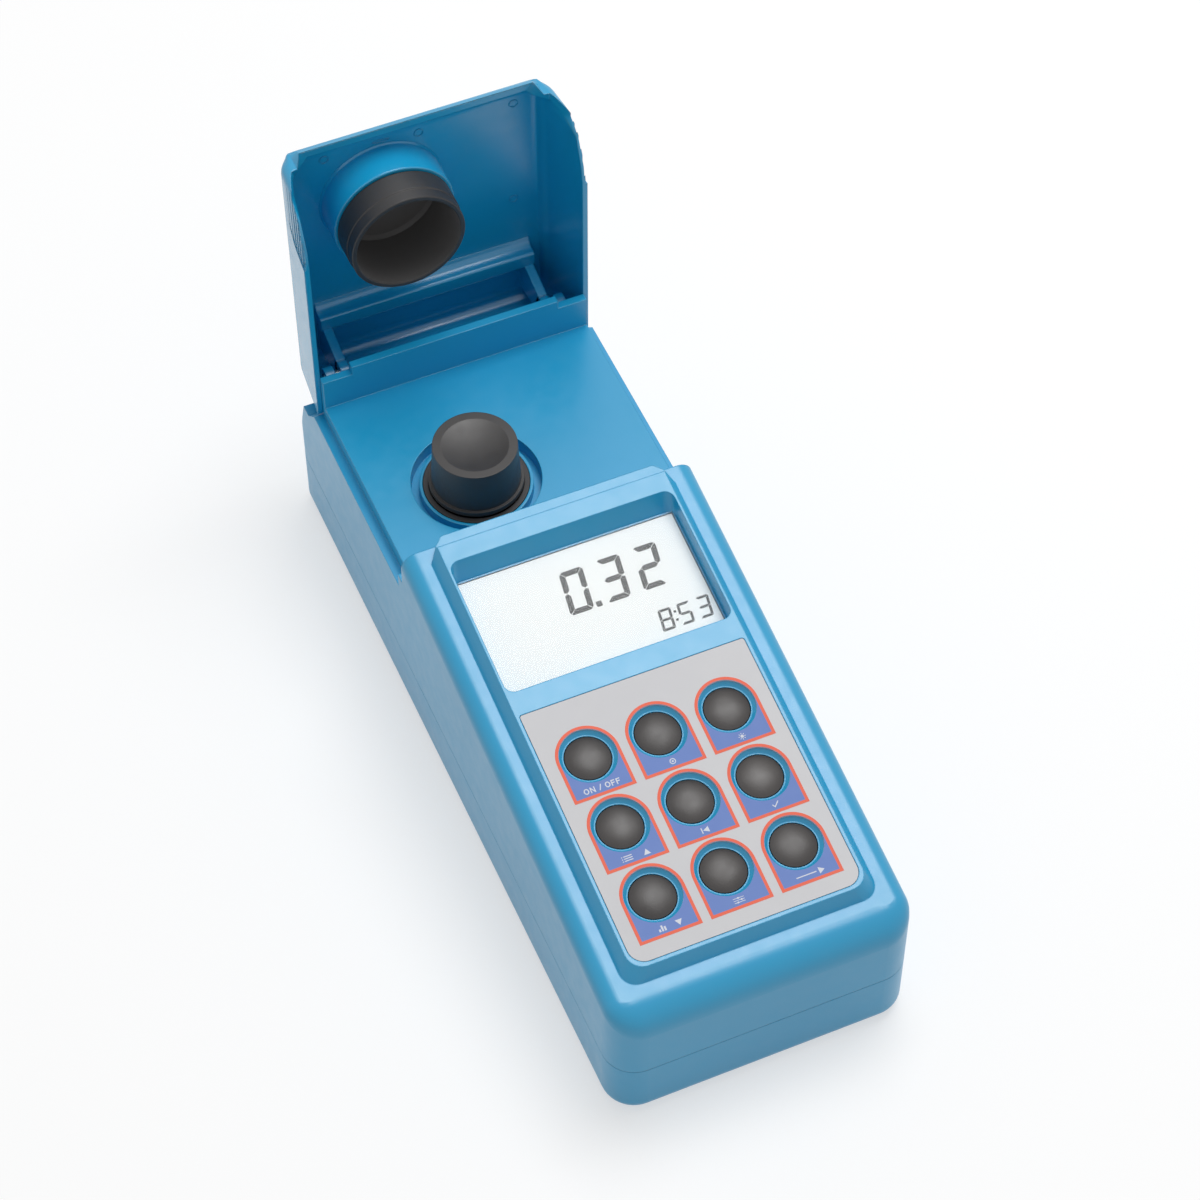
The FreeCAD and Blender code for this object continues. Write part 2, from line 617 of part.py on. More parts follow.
feet = []
for index, (sign_x, sign_y) in enumerate(FOOT_PLACES, 1):
    feet.append(cylinder(f"Foot{index}", "5", "foot_stand + 1", f"{sign_x} * (case_width / 2 - 19)",
                         f"{sign_y} * (case_length / 2 - 14)"))
node(group("Feet", *feet), "rubber_feet")

screws = []
for index, (sign_x, sign_y) in enumerate(POST_PLACES, 1):
    across = f"{sign_x} * (case_width / 2 - 9)"
    along = f"{sign_y} * (case_length / 2 - 9)"
    head = cylinder(f"CaseScrewHead{index}", "2.7", "2", across, along, "foot_stand + 2")
    shank = cylinder(f"CaseScrewShank{index}", "1.4", "parting - 6", across, along, "foot_stand + 4")
    screws.append(fuse(f"CaseScrew{index}", head, shank))
node(group("CaseScrews", *screws), "case_screws")

# Battery door: a stepped plate, flush with the bottom, and its screw
door_outer = centred_box("DoorOuter", BAY_WIDTH + " - 2 * fit",
                         BAY_LENGTH + " + 2 * " + DOOR_STEP + " - 2 * fit", "case_wall / 2", "0",
                         BAY_FRONT + " - " + DOOR_STEP + " + fit", "foot_stand")
door_inner = centred_box("DoorInner", BAY_WIDTH + " - 2 * fit", BAY_LENGTH + " - 2 * fit",
                         "case_wall / 2", "0", BAY_FRONT + " + fit", "foot_stand + case_wall / 2")
door_hole = cylinder("DoorHole", "1.6", "4", "0", DOOR_SCREW_Y, "foot_stand - 1")
node(cut("Door", fuse("DoorSolid", door_outer, door_inner), door_hole), "battery_door")
door_screw = fuse("DoorScrew", cylinder("DoorScrewHead", "2.8", "foot_stand - 0.1", "0", DOOR_SCREW_Y, "0.1"),
                  cylinder("DoorScrewShank", "1.3", "8", "0", DOOR_SCREW_Y, "0.2"))
node(door_screw, "battery_door_screw")

# Cells, side by side along Y, and the tray that they lie in
CELL_Z = "foot_stand + case_wall + 0.3 + battery_radius"
cells = []
for index in range(4):
    across = f"({index} - 1.5) * (2 * battery_radius + 0.4)"
    body = rearward(cylinder(f"CellBody{index}", "battery_radius", "battery_length - 1.5"), across,
                    BAY_FRONT + " + 2.5", CELL_Z)
    tip = rearward(cylinder(f"CellTip{index}", "2.7", "1.5"), across,
                   BAY_FRONT + " + 2.5 + battery_length - 1.5", CELL_Z)
    cells.append(fuse(f"Cell{index}", body, tip))
node(group("Cells", *cells), "battery_cells")
springs, plates = [], []
for index in range(4):
    across = f"({index} - 1.5) * (2 * battery_radius + 0.4)"
    springs.append(rearward(cone(f"Spring{index}", "4.5", "3", "2.3"), across, BAY_FRONT + " + 0.2",
                            CELL_Z))
    plates.append(box(f"Contact{index}", "9", "0.5", "9", f"{across} - 4.5",
                      BAY_FRONT + " + 2.5 + battery_length", f"{CELL_Z} - 4.5"))
node(group("BatterySprings", *springs), "battery_springs")
node(group("BatteryContacts", *plates), "battery_contacts")

# Key label: a thin sheet with nine holes
label_block = on_panel(primitive("Box", "LabelBlock", Length="2 * label_half",
                                 Width="label_front + label_rear", Height="label_thick"),
                       "0 - label_half", "0 - label_front", "0 - label_thick")
label_blank = rounded(
    "LabelBlank", label_block,
    (v.label_corner - 0.2, lambda edge: abs(edge.Length - v.label_thick) < 0.01
     and edge.CenterOfMass.y < v.panel_y),
    (0.7, lambda edge: abs(edge.Length - v.label_thick) < 0.01))
label_holes = []
for index, (column, line) in enumerate(KEYS, 1):
    label_holes.append(on_panel(
        primitive("Cylinder", f"LabelHole{index}", Radius="dish_radius", Height="label_thick + 1"),
        f"{column} * key_pitch_x", f"{line} * key_pitch_d", "0 - label_thick - 0.5"))
node(cut("KeyLabel", label_blank, *label_holes), "key_label")

# Keys: domed caps on stems that stand on the mat
KEY_FOOT = "panel_plate + 0.6"
for index, (column, line) in enumerate(KEYS, 1):
    across, along = f"{column} * key_pitch_x", f"{line} * key_pitch_d"
    body = on_panel(primitive("Cylinder", f"KeyBody{index}", Radius="key_radius",
                              Height=f"{KEY_FOOT} - key_sink"), across, along, f"0 - ({KEY_FOOT})")
    doc.recompute()
    dome = doc.addObject("Part::Feature", f"KeyDome{index}")
    crown = (v.key_radius ** 2 + v.key_dome ** 2) / (2 * v.key_dome)
    arc = Part.Arc(Vector(v.key_radius, 0, 0),
                   Vector(v.key_radius / 2, 0, (crown ** 2 - (v.key_radius / 2) ** 2) ** 0.5
                          - (crown - v.key_dome)), Vector(0, 0, v.key_dome))
    face = Part.Face(Part.Wire([arc.toShape(),
                                Part.makeLine(Vector(0, 0, v.key_dome), Vector(0, 0, 0)),
                                Part.makeLine(Vector(0, 0, 0), Vector(v.key_radius, 0, 0))]))
    dome.Shape = face.revolve(Vector(), Vector(0, 0, 1), 360)
    dome.Placement = Placement(panel_point(column * v.key_pitch_x, line * v.key_pitch_d, -v.key_sink),
                               Rotation(Vector(1, 0, 0), v.panel_slope))
    node(fuse(f"Key{index}", body, dome), f"key_{index}")
MAT_TOP = f"{KEY_FOOT} + key_travel + fit"
node(on_panel(primitive("Box", "KeyMat", Length="3 * key_pitch_x - 1", Width="3 * key_pitch_d - 1",
                        Height="mat_thick"),
              "0.5 - 1.5 * key_pitch_x", "0.5 - 1.5 * key_pitch_d", f"0 - ({MAT_TOP}) - mat_thick"),
     "key_mat")
BOARD_TOP = "window_depth + 6"
board = on_panel(primitive("Box", "PanelBoard", Length="2 * panel_half - 5", Width="118",
                           Height="board_thick"),
                 "2.5 - panel_half", "2.5 - panel_front", f"0 - {BOARD_TOP} - board_thick".replace(
                     "0 - window_depth + 6", "0 - window_depth - 6"))
board_holes = []
for index, (sign, along) in enumerate(BOSS_PLACES, 1):
    board_holes.append(on_panel(
        primitive("Cylinder", f"BoardHole{index}", Radius="1.1", Height="board_thick + 2"),
        f"{sign} * (panel_half - 5.4)", along, "0 - window_depth - 7 - board_thick"))
node(cut("PanelBoardDrilled", board, *board_holes), "panel_board")
node(group("BoardScrews", *[screw for pilot, screw in board_screws]), "panel_board_screws")
switches = []
for index, (column, line) in enumerate(KEYS, 1):
    switches.append(on_panel(
        primitive("Box", f"Switch{index}", Length="6", Width="6",
                  Height=f"window_depth + 6 - ({MAT_TOP}) - mat_thick"),
        f"{column} * key_pitch_x - 3", f"{line} * key_pitch_d - 3", "0 - window_depth - 6"))
node(group("Switches", *switches), "key_switches")

# Display: clear window over the glass module
window = on_panel(primitive("Box", "Window", Length="2 * window_half - 1.4",
                            Width="window_rear - window_lean - window_front - 1.4", Height="1.2"),
                  "0.7 - window_half", "window_front + 0.7", "0 - window_depth - 0.2")
node(window, "display_window")
module = on_panel(primitive("Box", "Module", Length="2 * window_half - 1.6",
                            Width="window_rear - window_lean - window_front - 1.6", Height="2.6"),
                  "0.8 - window_half", "window_front + 0.8", "0 - window_depth - 2.9")
node(module, "display_glass")
light = on_panel(primitive("Box", "Backlight", Length="2 * window_half - 1.6",
                           Width="window_rear - window_lean - window_front - 1.6", Height="3"),
                 "0.8 - window_half", "window_front + 0.8", "0 - window_depth - 5.95")
node(light, "display_backlight")

# Optical block with the well's black neck
BLOCK_TOP = "deck - case_wall - groove_depth - fit"
block_base = box("BlockBase", "44", "44", f"{BLOCK_TOP} - foot_stand - case_wall - fit",
                 "well_x - 22", "well_y - 22", "foot_stand + case_wall + fit")
neck = cylinder("BlockNeck", "neck_radius", "20", "well_x", "well_y", "deck - 20.8")
bore = cylinder("BlockBore", "well_radius", "80", "well_x", "well_y", "cuvette_floor")
beam = lying(cylinder("BeamBore", "3.2", "22"), "well_x - 22", "well_y", "26")
beam_out = lying(cylinder("BeamOut", "3.2", "22"), "well_x", "well_y", "26")
beam_side = rearward(cylinder("BeamSide", "3.2", "22"), "well_x", "well_y", "26")
block = cut("OpticalBlock", fuse("BlockSolid", block_base, neck), bore, beam, beam_out, beam_side)
node(block, "optical_block")
lamp_bulb = lying(cylinder("LampBulb", "2.6", "6"), "well_x - 26", "well_y", "26")
lamp_base = lying(cylinder("LampBase", "4.2", "5"), "well_x - 27", "well_y", "26")
node(box("LampBoard", "1.6", "16", "16", "well_x - 28.6", "well_y - 8", "18"), "lamp_board")
node(fuse("Lamp", lamp_base, lamp_bulb), "lamp")
node(lying(cylinder("LampLens", "3.1", "2.5"), "well_x - 19", "well_y", "26"), "lamp_lens")
node(lying(cylinder("DetectorThrough", "4.2", "4"), "well_x + 22", "well_y", "26"),
     "transmitted_light_detector")
node(rearward(cylinder("DetectorSide", "4.2", "4"), "well_x", "well_y + 22", "26"),
     "scattered_light_detector")

# Cuvette, water and cap
glass_body = cylinder("GlassBody", "cuvette_radius", "cuvette_shoulder - cuvette_floor", "well_x",
                      "well_y", "cuvette_floor")
glass_neck = cylinder("GlassNeck", "cuvette_neck", "cuvette_top - cuvette_shoulder", "well_x",
                      "well_y", "cuvette_shoulder")
glass_room = cylinder("GlassRoom", "cuvette_radius - cuvette_wall",
                      "cuvette_shoulder - cuvette_floor - 2 * cuvette_wall", "well_x", "well_y",
                      "cuvette_floor + cuvette_wall")
glass_throat = cylinder("GlassThroat", "cuvette_neck - cuvette_wall", "40", "well_x", "well_y",
                        "cuvette_shoulder - 2 * cuvette_wall")
node(cut("CuvetteGlass", fuse("GlassSolid", glass_body, glass_neck), glass_room, glass_throat),
     "cuvette_glass")
node(cylinder("Sample", "cuvette_radius - cuvette_wall", "sample_level - cuvette_floor - cuvette_wall",
              "well_x", "well_y", "cuvette_floor + cuvette_wall"), "water_sample")
node(cylinder("CapSeal", "cuvette_neck", "1.2", "well_x", "well_y", "cuvette_top"), "cap_seal")
cap_side = cone("CapSide", "cap_radius + cap_flare", "cap_radius", "cap_top - cap_base", "well_x",
                "well_y", "cap_base")
cap_flange = cylinder("CapFlange", "cap_flange", "1.5", "well_x", "well_y", "cap_base")
cap_bore = cylinder("CapBore", "cuvette_neck + 0.4", "cuvette_top + 1.2 - cap_base + 1", "well_x",
                    "well_y", "cap_base - 1")
cap_dish = place(primitive("Sphere", "CapDish", Radius="40"), "well_x", "well_y", "cap_top + 38.9")
node(cut("CuvetteCap", fuse("CapSolid", cap_side, cap_flange), cap_bore, cap_dish), "cuvette_cap")

# Hinge pins
for side, sign in (("left", "-1"), ("right", "1")):
    node(lying(cylinder(f"Pin{side.title()}", "pin_radius", PIN_LENGTH),
               f"{sign} * ({PIN_MIDDLE}) - ({PIN_LENGTH}) / 2", "hinge_y", "hinge_z"),
         f"hinge_pin_{side}")

# Lid: modelled closed, then turned open about the pins
LID_HALF = "case_width / 2 - lid_side_gap"
EAR_Y = "lid_front + lid_ear_back"
lid_block = centred_box("LidBlock", f"2 * ({LID_HALF})", f"case_length / 2 - ({EAR_Y})",
                        "lid_top - ledge - lid_rest", "0", EAR_Y, "ledge + lid_rest")
lid_nose = centred_box("LidNose", "2 * lid_front_half", "40", "lid_top - ledge - lid_rest", "0",
                       "lid_front", "ledge + lid_rest")
lid_solid = fuse("LidSolid", lid_block, lid_nose)
doc.recompute()


def lid_top_edge(edge):
    return edge.BoundBox.ZMin > v.lid_top - 0.01


def lid_front_corner(edge):
    return upright(edge) and abs(edge.CenterOfMass.x) > v.lid_front_half + 1 and edge.CenterOfMass.y < 60


def lid_rear_corner(edge):
    return upright(edge) and edge.CenterOfMass.y > 60


lid_round = rounded("LidRounded", lid_solid, (4.0, lid_front_corner), (4.0, lid_rear_corner),
                    (v.lid_round, lid_top_edge))
INSIDE = "lid_wall"
lid_room = centred_box("LidRoom", f"2 * ({LID_HALF} - lid_wall)",
                       f"case_length / 2 - ({EAR_Y}) - 2 * lid_wall", "lid_top - lid_wall", "0",
                       f"{EAR_Y} + lid_wall", "0")
nose_room = centred_box("NoseRoom", "2 * (lid_front_half - lid_wall)", "30", "lid_top - lid_wall", "0",
                        "lid_front + lid_wall", "0")
lid_room_round = rounded("LidRoomRounded", fuse("LidRoomSolid", lid_room, nose_room),
                         (2.0, lid_front_corner), (2.0, lid_rear_corner),
                         (2.5, lambda edge: edge.BoundBox.ZMin > v.lid_top - v.lid_wall - 0.01))
# The rim is cut back at the nose, the ears and the rear
RIM_FRONT = "panel_z + panel_rear * sin(panel_slope) + lid_rest"
rim_cut = side_profile("RimCut", [
    ("0", "0"), ("0", RIM_FRONT), ("lid_front + 4.4", RIM_FRONT), ("lid_front + 4.4", "hinge_z + 1"),
    ("lid_front + 8", "ledge + 4"), ("lid_front + 16", "ledge + 1"), ("lid_front + 22", "ledge + lid_rest"),
    ("case_length / 2 - lid_wall - 3.2", "ledge + lid_rest"),
    ("case_length / 2 - lid_wall", "ledge + 4.2"),
    ("case_length / 2 - lid_wall", "hinge_z + 1.5"), ("case_length / 2 + 5", "hinge_z + 1.5"),
    ("case_length / 2 + 5", "0"),
], "case_width + 10")
lid_cuts = [lid_room_round, rim_cut]
# Finger grips: a scoop in each side wall, deepest at the rim
GRIP_TILT = 5.2
grip_cuts = []
for sign in (-1, 1):
    scoop = box(f"Grip{sign + 1}", "4", "21", "18")
    doc.recompute()
    scoop_round = rounded(f"GripRounded{sign + 1}", scoop,
                          (9.0, lambda edge: edge.BoundBox.XLength > 3.9 and edge.CenterOfMass.y > 20
                           and edge.CenterOfMass.z > 17))
    side_x = sign * (v.case_width / 2 - v.lid_side_gap - 1.4) - (4 if sign < 0 else 0)
    pivot = Vector(4 if sign < 0 else 0, 0, 0)
    scoop_round.Placement = Placement(Vector(side_x, v.lid_front + v.lid_ear_back - 0.01, v.ledge),
                                      Rotation(Vector(0, 1, 0), sign * GRIP_TILT), pivot)
    grip_cuts.append(scoop_round)
shell_lid = cut("LidShell", lid_round, *lid_cuts)
# Boss for the light shield, seal rib over the hinge wall, hinge lugs
boss = cylinder("CupBoss", "cup_radius + 0.5", "cup_collar + 0.5", "well_x", "well_y",
                "lid_top - lid_wall - cup_collar")
boss_core = cylinder("CupBossCore", "cup_radius - 1.5", "cup_collar", "well_x", "well_y",
                     "lid_top - lid_wall - cup_collar")
boss_ring = cut("CupBossRing", boss, boss_core)
seal_rib = centred_box("SealRib", "65", "5.2", "lid_top - lid_wall + 0.5 - hinge_wall_top - fit", "0",
                       "hinge_wall_y - 1.6", "hinge_wall_top + fit")
lugs = []
for side, sign in (("Left", "-1"), ("Right", "1")):
    centre = f"{sign} * ({LUG_X} + {LUG_THICK} / 2) - {LUG_THICK} / 2"
    eye = lying(cylinder(f"Lug{side}Eye", "3.6", LUG_THICK), centre, "hinge_y", "hinge_z")
    arm_outline = outline(f"Lug{side}Outline", [
        ("hinge_y - 3.6", "hinge_z"), ("hinge_y + 3.6", "hinge_z"),
        ("hinge_y + 6", "lid_top - lid_wall + 0.5"), ("hinge_wall_y + 2", "lid_top - lid_wall + 0.5"),
        ("hinge_wall_y + case_wall + fit", "hinge_wall_top"),
    ], ACROSS)
    place(arm_outline, centre + f" + {LUG_THICK} / 2")
    arm = extrusion(f"Lug{side}Arm", arm_outline, LUG_THICK)
    lugs += [eye, arm]
lid_full = fuse("LidFull", shell_lid, boss_ring, seal_rib, *lugs)
lid_holes = list(grip_cuts)
for side, sign in (("Left", "-1"), ("Right", "1")):
    lid_holes.append(lying(cylinder(f"LugBore{side}", "pin_radius + pin_fit", "lug_thick + 2"),
                           f"{sign} * ({LUG_X} + lug_thick / 2) - lug_thick / 2 - 1",
                           "hinge_y", "hinge_z"))
lid = cut("Lid", lid_full, *lid_holes)

# Light shield cup: hollow, closed at the lid's end, with a thinner tip
CUP_TIP_Z = "deck - groove_depth + 1.2"
CUP_BODY_Z = f"{CUP_TIP_Z} + cup_tip_length"
COLLAR_Z = "lid_top - lid_wall - cup_collar"
cup_body = cylinder("CupBody", "cup_radius - 0.3", f"{COLLAR_Z} - ({CUP_BODY_Z})", "well_x", "well_y",
                    CUP_BODY_Z)
cup_tip = cylinder("CupTip", "cup_tip", "cup_tip_length + 1", "well_x", "well_y", CUP_TIP_Z)
cup_spigot = cylinder("CupSpigot", "cup_radius - 1.5", "cup_collar + 1", "well_x", "well_y",
                      COLLAR_Z + " - 1")
cup_room = cylinder("CupRoom", "cup_bore", f"cap_top + 1 - ({CUP_TIP_Z}) + 0.5", "well_x", "well_y",
                    CUP_TIP_Z + " - 0.5")
cup_tip_room = cylinder("CupTipRoom", "cup_tip - 0.9", "cup_tip_length - 0.5", "well_x", "well_y",
                        CUP_TIP_Z + " - 0.5")
cup = cut("Cup", fuse("CupSolid", cup_body, cup_tip, cup_spigot), cup_room, cup_tip_room)


def open_lid(item):
    """Turn a piece of the closed lid by 90 degrees about the pins."""
    item.Placement = Placement(Vector(), Rotation(Vector(1, 0, 0), -90), Vector(0, v.hinge_y, v.hinge_z))
    return item


node(open_lid(lid), "lid")
node(open_lid(cup), "light_shield_cup")

# Rear connectors
jack_body = box("JackBody", "10", "9", "11", f"{JACK_X} - 5", "case_length / 2 - case_wall - 14",
                f"{JACK_Z} - 5.5")
jack_ring = rearward(cylinder("JackRing", "4.1", "3"), JACK_X, "case_length / 2 - case_wall - 5.4", JACK_Z)
jack_bore = rearward(cylinder("JackBore", "2.8", "20"), JACK_X, "case_length / 2 - case_wall - 10", JACK_Z)
node(cut("PowerJack", fuse("JackSolid", jack_body, jack_ring), jack_bore), "power_jack")
usb_body = box("UsbBody", "12", "12", "5", f"{USB_X} - 6", "case_length / 2 - case_wall - 14.5",
               f"{USB_Z} - 2.5")
usb_room = box("UsbRoom", "10.4", "12", "3.6", f"{USB_X} - 5.2", "case_length / 2 - case_wall - 12",
               f"{USB_Z} - 1.8")
node(cut("UsbSocket", usb_body, usb_room), "usb_socket")

# Main board on four bosses, in front of the optical block
main_plate = centred_box("MainPlate", "64", "22", "board_thick", "0", "2", "24")
main_holes, main_screws = [], []
for index, (sign, along) in enumerate(MAIN_PLACES, 1):
    main_holes.append(cylinder(f"MainHole{index}", "1.1", "4", f"{sign} * 28", along, "23"))
    main_screws.append(fuse(f"MainScrew{index}",
                            cylinder(f"MainShank{index}", "0.9", "6", f"{sign} * 28", along,
                                     "19.6 + board_thick"),
                            cylinder(f"MainHead{index}", "1.9", "1.4", f"{sign} * 28", along,
                                     "24 + board_thick")))
node(cut("MainBoard", main_plate, *main_holes), "main_board")
node(group("MainScrews", *main_screws), "main_board_screws")
node(cylinder("Buzzer", "6", "5", "17", "12", "24 + board_thick"), "buzzer")

doc.recompute()
faults = [item.Name for item in doc.Objects if "Invalid" in item.State or "Error" in item.State]
if faults:
    raise RuntimeError("objects failed: " + ", ".join(faults))
for item in NODES:
    shape = item.Shape
    if shape.isNull() or not shape.isValid():
        raise RuntimeError(item.Label + " has no valid shape")
    shape.exportStep(f"parts/{item.Label}.step")
    size = shape.BoundBox
    print(f"{item.Label}: {len(shape.Solids)} solids, {shape.Volume:.0f} mm3, "
          f"x {size.XMin:.1f} {size.XMax:.1f} y {size.YMin:.1f} {size.YMax:.1f} z {size.ZMin:.1f} {size.ZMax:.1f}")
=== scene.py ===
"""Portable turbidity meter: finishes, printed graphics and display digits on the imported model, the
moulded form of its lid and light shield, and the camera and light round it.

Blender objects are in metres in the model's own frame: X to the user's right, Y to the rear,
Z up, with the origin on the table under the middle of the case.
"""
import json
from math import atan2, cos, pi, radians, sin, sqrt, tan

import bmesh
import bpy
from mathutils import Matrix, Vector

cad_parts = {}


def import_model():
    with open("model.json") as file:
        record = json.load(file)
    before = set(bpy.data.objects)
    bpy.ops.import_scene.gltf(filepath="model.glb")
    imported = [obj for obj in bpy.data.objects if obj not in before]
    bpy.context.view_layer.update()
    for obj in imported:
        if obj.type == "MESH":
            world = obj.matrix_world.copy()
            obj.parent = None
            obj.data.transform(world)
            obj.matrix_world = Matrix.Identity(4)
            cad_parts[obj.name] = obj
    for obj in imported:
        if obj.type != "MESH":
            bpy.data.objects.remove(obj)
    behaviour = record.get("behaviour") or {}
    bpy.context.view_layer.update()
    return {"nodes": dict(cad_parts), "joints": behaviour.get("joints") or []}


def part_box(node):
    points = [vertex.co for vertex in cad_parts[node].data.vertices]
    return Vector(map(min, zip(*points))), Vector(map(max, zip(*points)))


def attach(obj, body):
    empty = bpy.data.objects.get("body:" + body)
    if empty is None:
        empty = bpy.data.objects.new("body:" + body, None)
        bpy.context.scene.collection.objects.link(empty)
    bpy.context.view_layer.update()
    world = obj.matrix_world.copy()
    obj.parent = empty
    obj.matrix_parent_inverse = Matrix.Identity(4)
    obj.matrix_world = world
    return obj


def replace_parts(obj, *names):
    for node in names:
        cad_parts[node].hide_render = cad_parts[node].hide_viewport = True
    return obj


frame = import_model()
scene = bpy.context.scene
nodes = frame["nodes"]
joints = {joint["name"]: joint for joint in frame["joints"]}
MM = 0.001

# Camera, as fitted to the photograph
CAMERA_PLACE = Vector((-220.5, -516.2, 797.2)) * MM
CAMERA_ELEVATION = radians(52.64)
CAMERA_AZIMUTH = radians(-23.40)
CAMERA_LENS = 104.5
CAMERA_SENSOR = 36.0
CAMERA_CLIP = (0.05, 50.0)

# Light
WORLD_DIFFUSE = 0.38
SOFTBOX_PLACE = (0.37, 0.25, 1.5)
SOFTBOX_AIM = (0, 0, 0.05)
SOFTBOX_SIZE = (0.9, 0.9)
SOFTBOX_POWER = 13.5
FLOOR_HALF = 6.0
FLOOR_DROP = 0.05 * MM
FLOOR_BOUNCE = 0.8
FLOOR_SEEN = 0.5
FLOOR_GLOW = 0.56


# Colours, written as sRGB bytes and turned into linear values
def linear(red, green, blue):
    channels = []
    for byte in (red, green, blue):
        value = byte / 255
        channels.append(value / 12.92 if value <= 0.04045 else ((value + 0.055) / 1.055) ** 2.4)
    return (*channels, 1.0)


CASE_BLUE = linear(24, 163, 212)
CASE_BLUE_DEEP = linear(20, 159, 208)
BLACK = linear(44, 43, 44)
CAP_BLACK = linear(56, 54, 54)
KEY_DARK = linear(48, 44, 43)
LABEL_GREY = linear(212, 212, 215)
SALMON = linear(248, 118, 94)
VIOLET = linear(118, 144, 208)
PRINT_WHITE = linear(226, 230, 240)
DISPLAY_WHITE = linear(236, 239, 238)
DISPLAY_INK = linear(30, 30, 32)
STEEL = linear(190, 190, 188)


# Materials
class Shader:
    """A material with its Principled shader, and short ways to add nodes."""

    def __init__(self, name, color, roughness, metallic=0.0, specular=0.5):
        self.material = bpy.data.materials.new(name)
        self.material.use_nodes = True
        self.tree = self.material.node_tree
        self.surface = self.tree.nodes["Principled BSDF"]
        self.surface.inputs["Base Color"].default_value = color
        self.surface.inputs["Roughness"].default_value = roughness
        self.surface.inputs["Metallic"].default_value = metallic
        self.surface.inputs["Specular IOR Level"].default_value = specular

    def add(self, kind, **values):
        node = self.tree.nodes.new(kind)
        for key, value in values.items():
            plain = isinstance(getattr(node, key, None), (str, bool, int, float))
            if plain and key in node.bl_rna.properties:
                setattr(node, key, value)
            else:
                node.inputs[key.replace("_", " ")].default_value = value
        return node

    def link(self, output, target):
        self.tree.links.new(output, target)

    def noise(self, size, detail=2.0):
        """Noise with features of about that size in metres, in the model's coordinates."""
        where = self.add("ShaderNodeTexCoord")
        node = self.add("ShaderNodeTexNoise", Scale=1.0 / size, Detail=detail)
        self.link(where.outputs["Object"], node.inputs["Vector"])
        return node.outputs["Fac"]

    def ramp(self, factor, low, high, low_at=0.0, high_at=1.0):
        """Two values or colours blended by a factor."""
        node = self.add("ShaderNodeValToRGB")
        node.color_ramp.elements[0].position = low_at
        node.color_ramp.elements[1].position = high_at
        for element, value in zip(node.color_ramp.elements, (low, high)):
            element.color = value if isinstance(value, tuple) else (value, value, value, 1)
        self.link(factor, node.inputs["Fac"])
        return node.outputs["Color"]

    def tint(self, low, high, size):
        """Slow drift between two close colours."""
        self.link(self.ramp(self.noise(size), low, high, 0.35, 0.65), self.surface.inputs["Base Color"])

    def sheen_drift(self, low, high, size):
        """Roughness that drifts between two values."""
        self.link(self.ramp(self.noise(size, 4.0), low, high, 0.3, 0.7), self.surface.inputs["Roughness"])

    def grain(self, size, depth, strength=1.0, rounding=0.0):
        """Fine moulded texture, over edges that are rounded off by that radius."""
        bump = self.add("ShaderNodeBump", Strength=strength, Distance=depth)
        self.link(self.noise(size, 3.0), bump.inputs["Height"])
        if rounding:
            bevel = self.add("ShaderNodeBevel", samples=6, Radius=rounding)
            self.link(bevel.outputs["Normal"], bump.inputs["Normal"])
        self.link(bump.outputs["Normal"], self.surface.inputs["Normal"])


COLOUR_PATCH = 0.05
SHEEN_PATCH = 0.004


def moulded(name, low, high, rough_low, rough_high, grain=0.00035, depth=0.000012, rounding=0.0,
            specular=0.5):
    """Moulded plastic or print: colour and roughness drift between two values, over a fine grain."""
    shader = Shader(name, low, rough_low, specular=specular)
    shader.tint(low, high, COLOUR_PATCH)
    shader.sheen_drift(rough_low, rough_high, SHEEN_PATCH)
    shader.grain(grain, depth, rounding=rounding)
    return shader.material


def case_blue():
    return moulded("case_blue", CASE_BLUE, CASE_BLUE_DEEP, 0.28, 0.34, depth=0.000008, rounding=0.0004,
                   specular=0.8)


def lid_blue():
    """The lid's plastic is the same blue with a higher gloss."""
    return moulded("lid_blue", CASE_BLUE, CASE_BLUE_DEEP, 0.2, 0.26, depth=0.000006, rounding=0.0005,
                   specular=0.8)


def black_plastic():
    return moulded("black_plastic", BLACK, linear(48, 47, 48), 0.42, 0.52, rounding=0.0003)


def cap_black():
    return moulded("cap_black", CAP_BLACK, linear(60, 58, 57), 0.36, 0.46, grain=0.0004, rounding=0.0003)


def key_dark():
    return moulded("key_dark", KEY_DARK, linear(56, 51, 49), 0.3, 0.4, grain=0.0003, depth=0.00002)


def label_grey():
    return moulded("label_grey", LABEL_GREY, linear(215, 215, 217), 0.5, 0.56, grain=0.0002,
                   depth=0.000004, specular=0.3)


def ink(name, color):
    return moulded(name, color, tuple(0.96 * part for part in color[:3]) + (1.0,), 0.5, 0.58,
                   grain=0.0002, depth=0.000004, specular=0.2)


def display_white():
    """White reflector of the display, with a painted glow that makes it brighter than its lighting would."""
    shader = Shader("display_white", DISPLAY_WHITE, 0.4, specular=0.3)
    shader.tint(DISPLAY_WHITE, linear(233, 236, 235), 0.03)
    # Painted glow: a weak white emission that brightens the display; it is not a lamp
    shader.surface.inputs["Emission Color"].default_value = DISPLAY_WHITE
    shader.surface.inputs["Emission Strength"].default_value = 0.2
    return shader.material


def thin_clear(name, color):
    """A thin clear pane, which lets light through to what lies under it."""
    shader = Shader(name, color, 0.03)
    shader.surface.inputs["Alpha"].default_value = 0.1
    return shader.material


def clear(name, color, roughness=0.02):
    shader = Shader(name, color, roughness)
    shader.surface.inputs["Transmission Weight"].default_value = 1.0
    shader.surface.inputs["IOR"].default_value = 1.45
    return shader.material


def metal(name, color, roughness):
    shader = Shader(name, color, roughness, metallic=1.0)
    shader.sheen_drift(roughness * 0.8, roughness * 1.3, 0.0006)
    return shader.material


def rubber():
    return moulded("rubber", linear(30, 30, 31), linear(36, 36, 36), 0.6, 0.75)


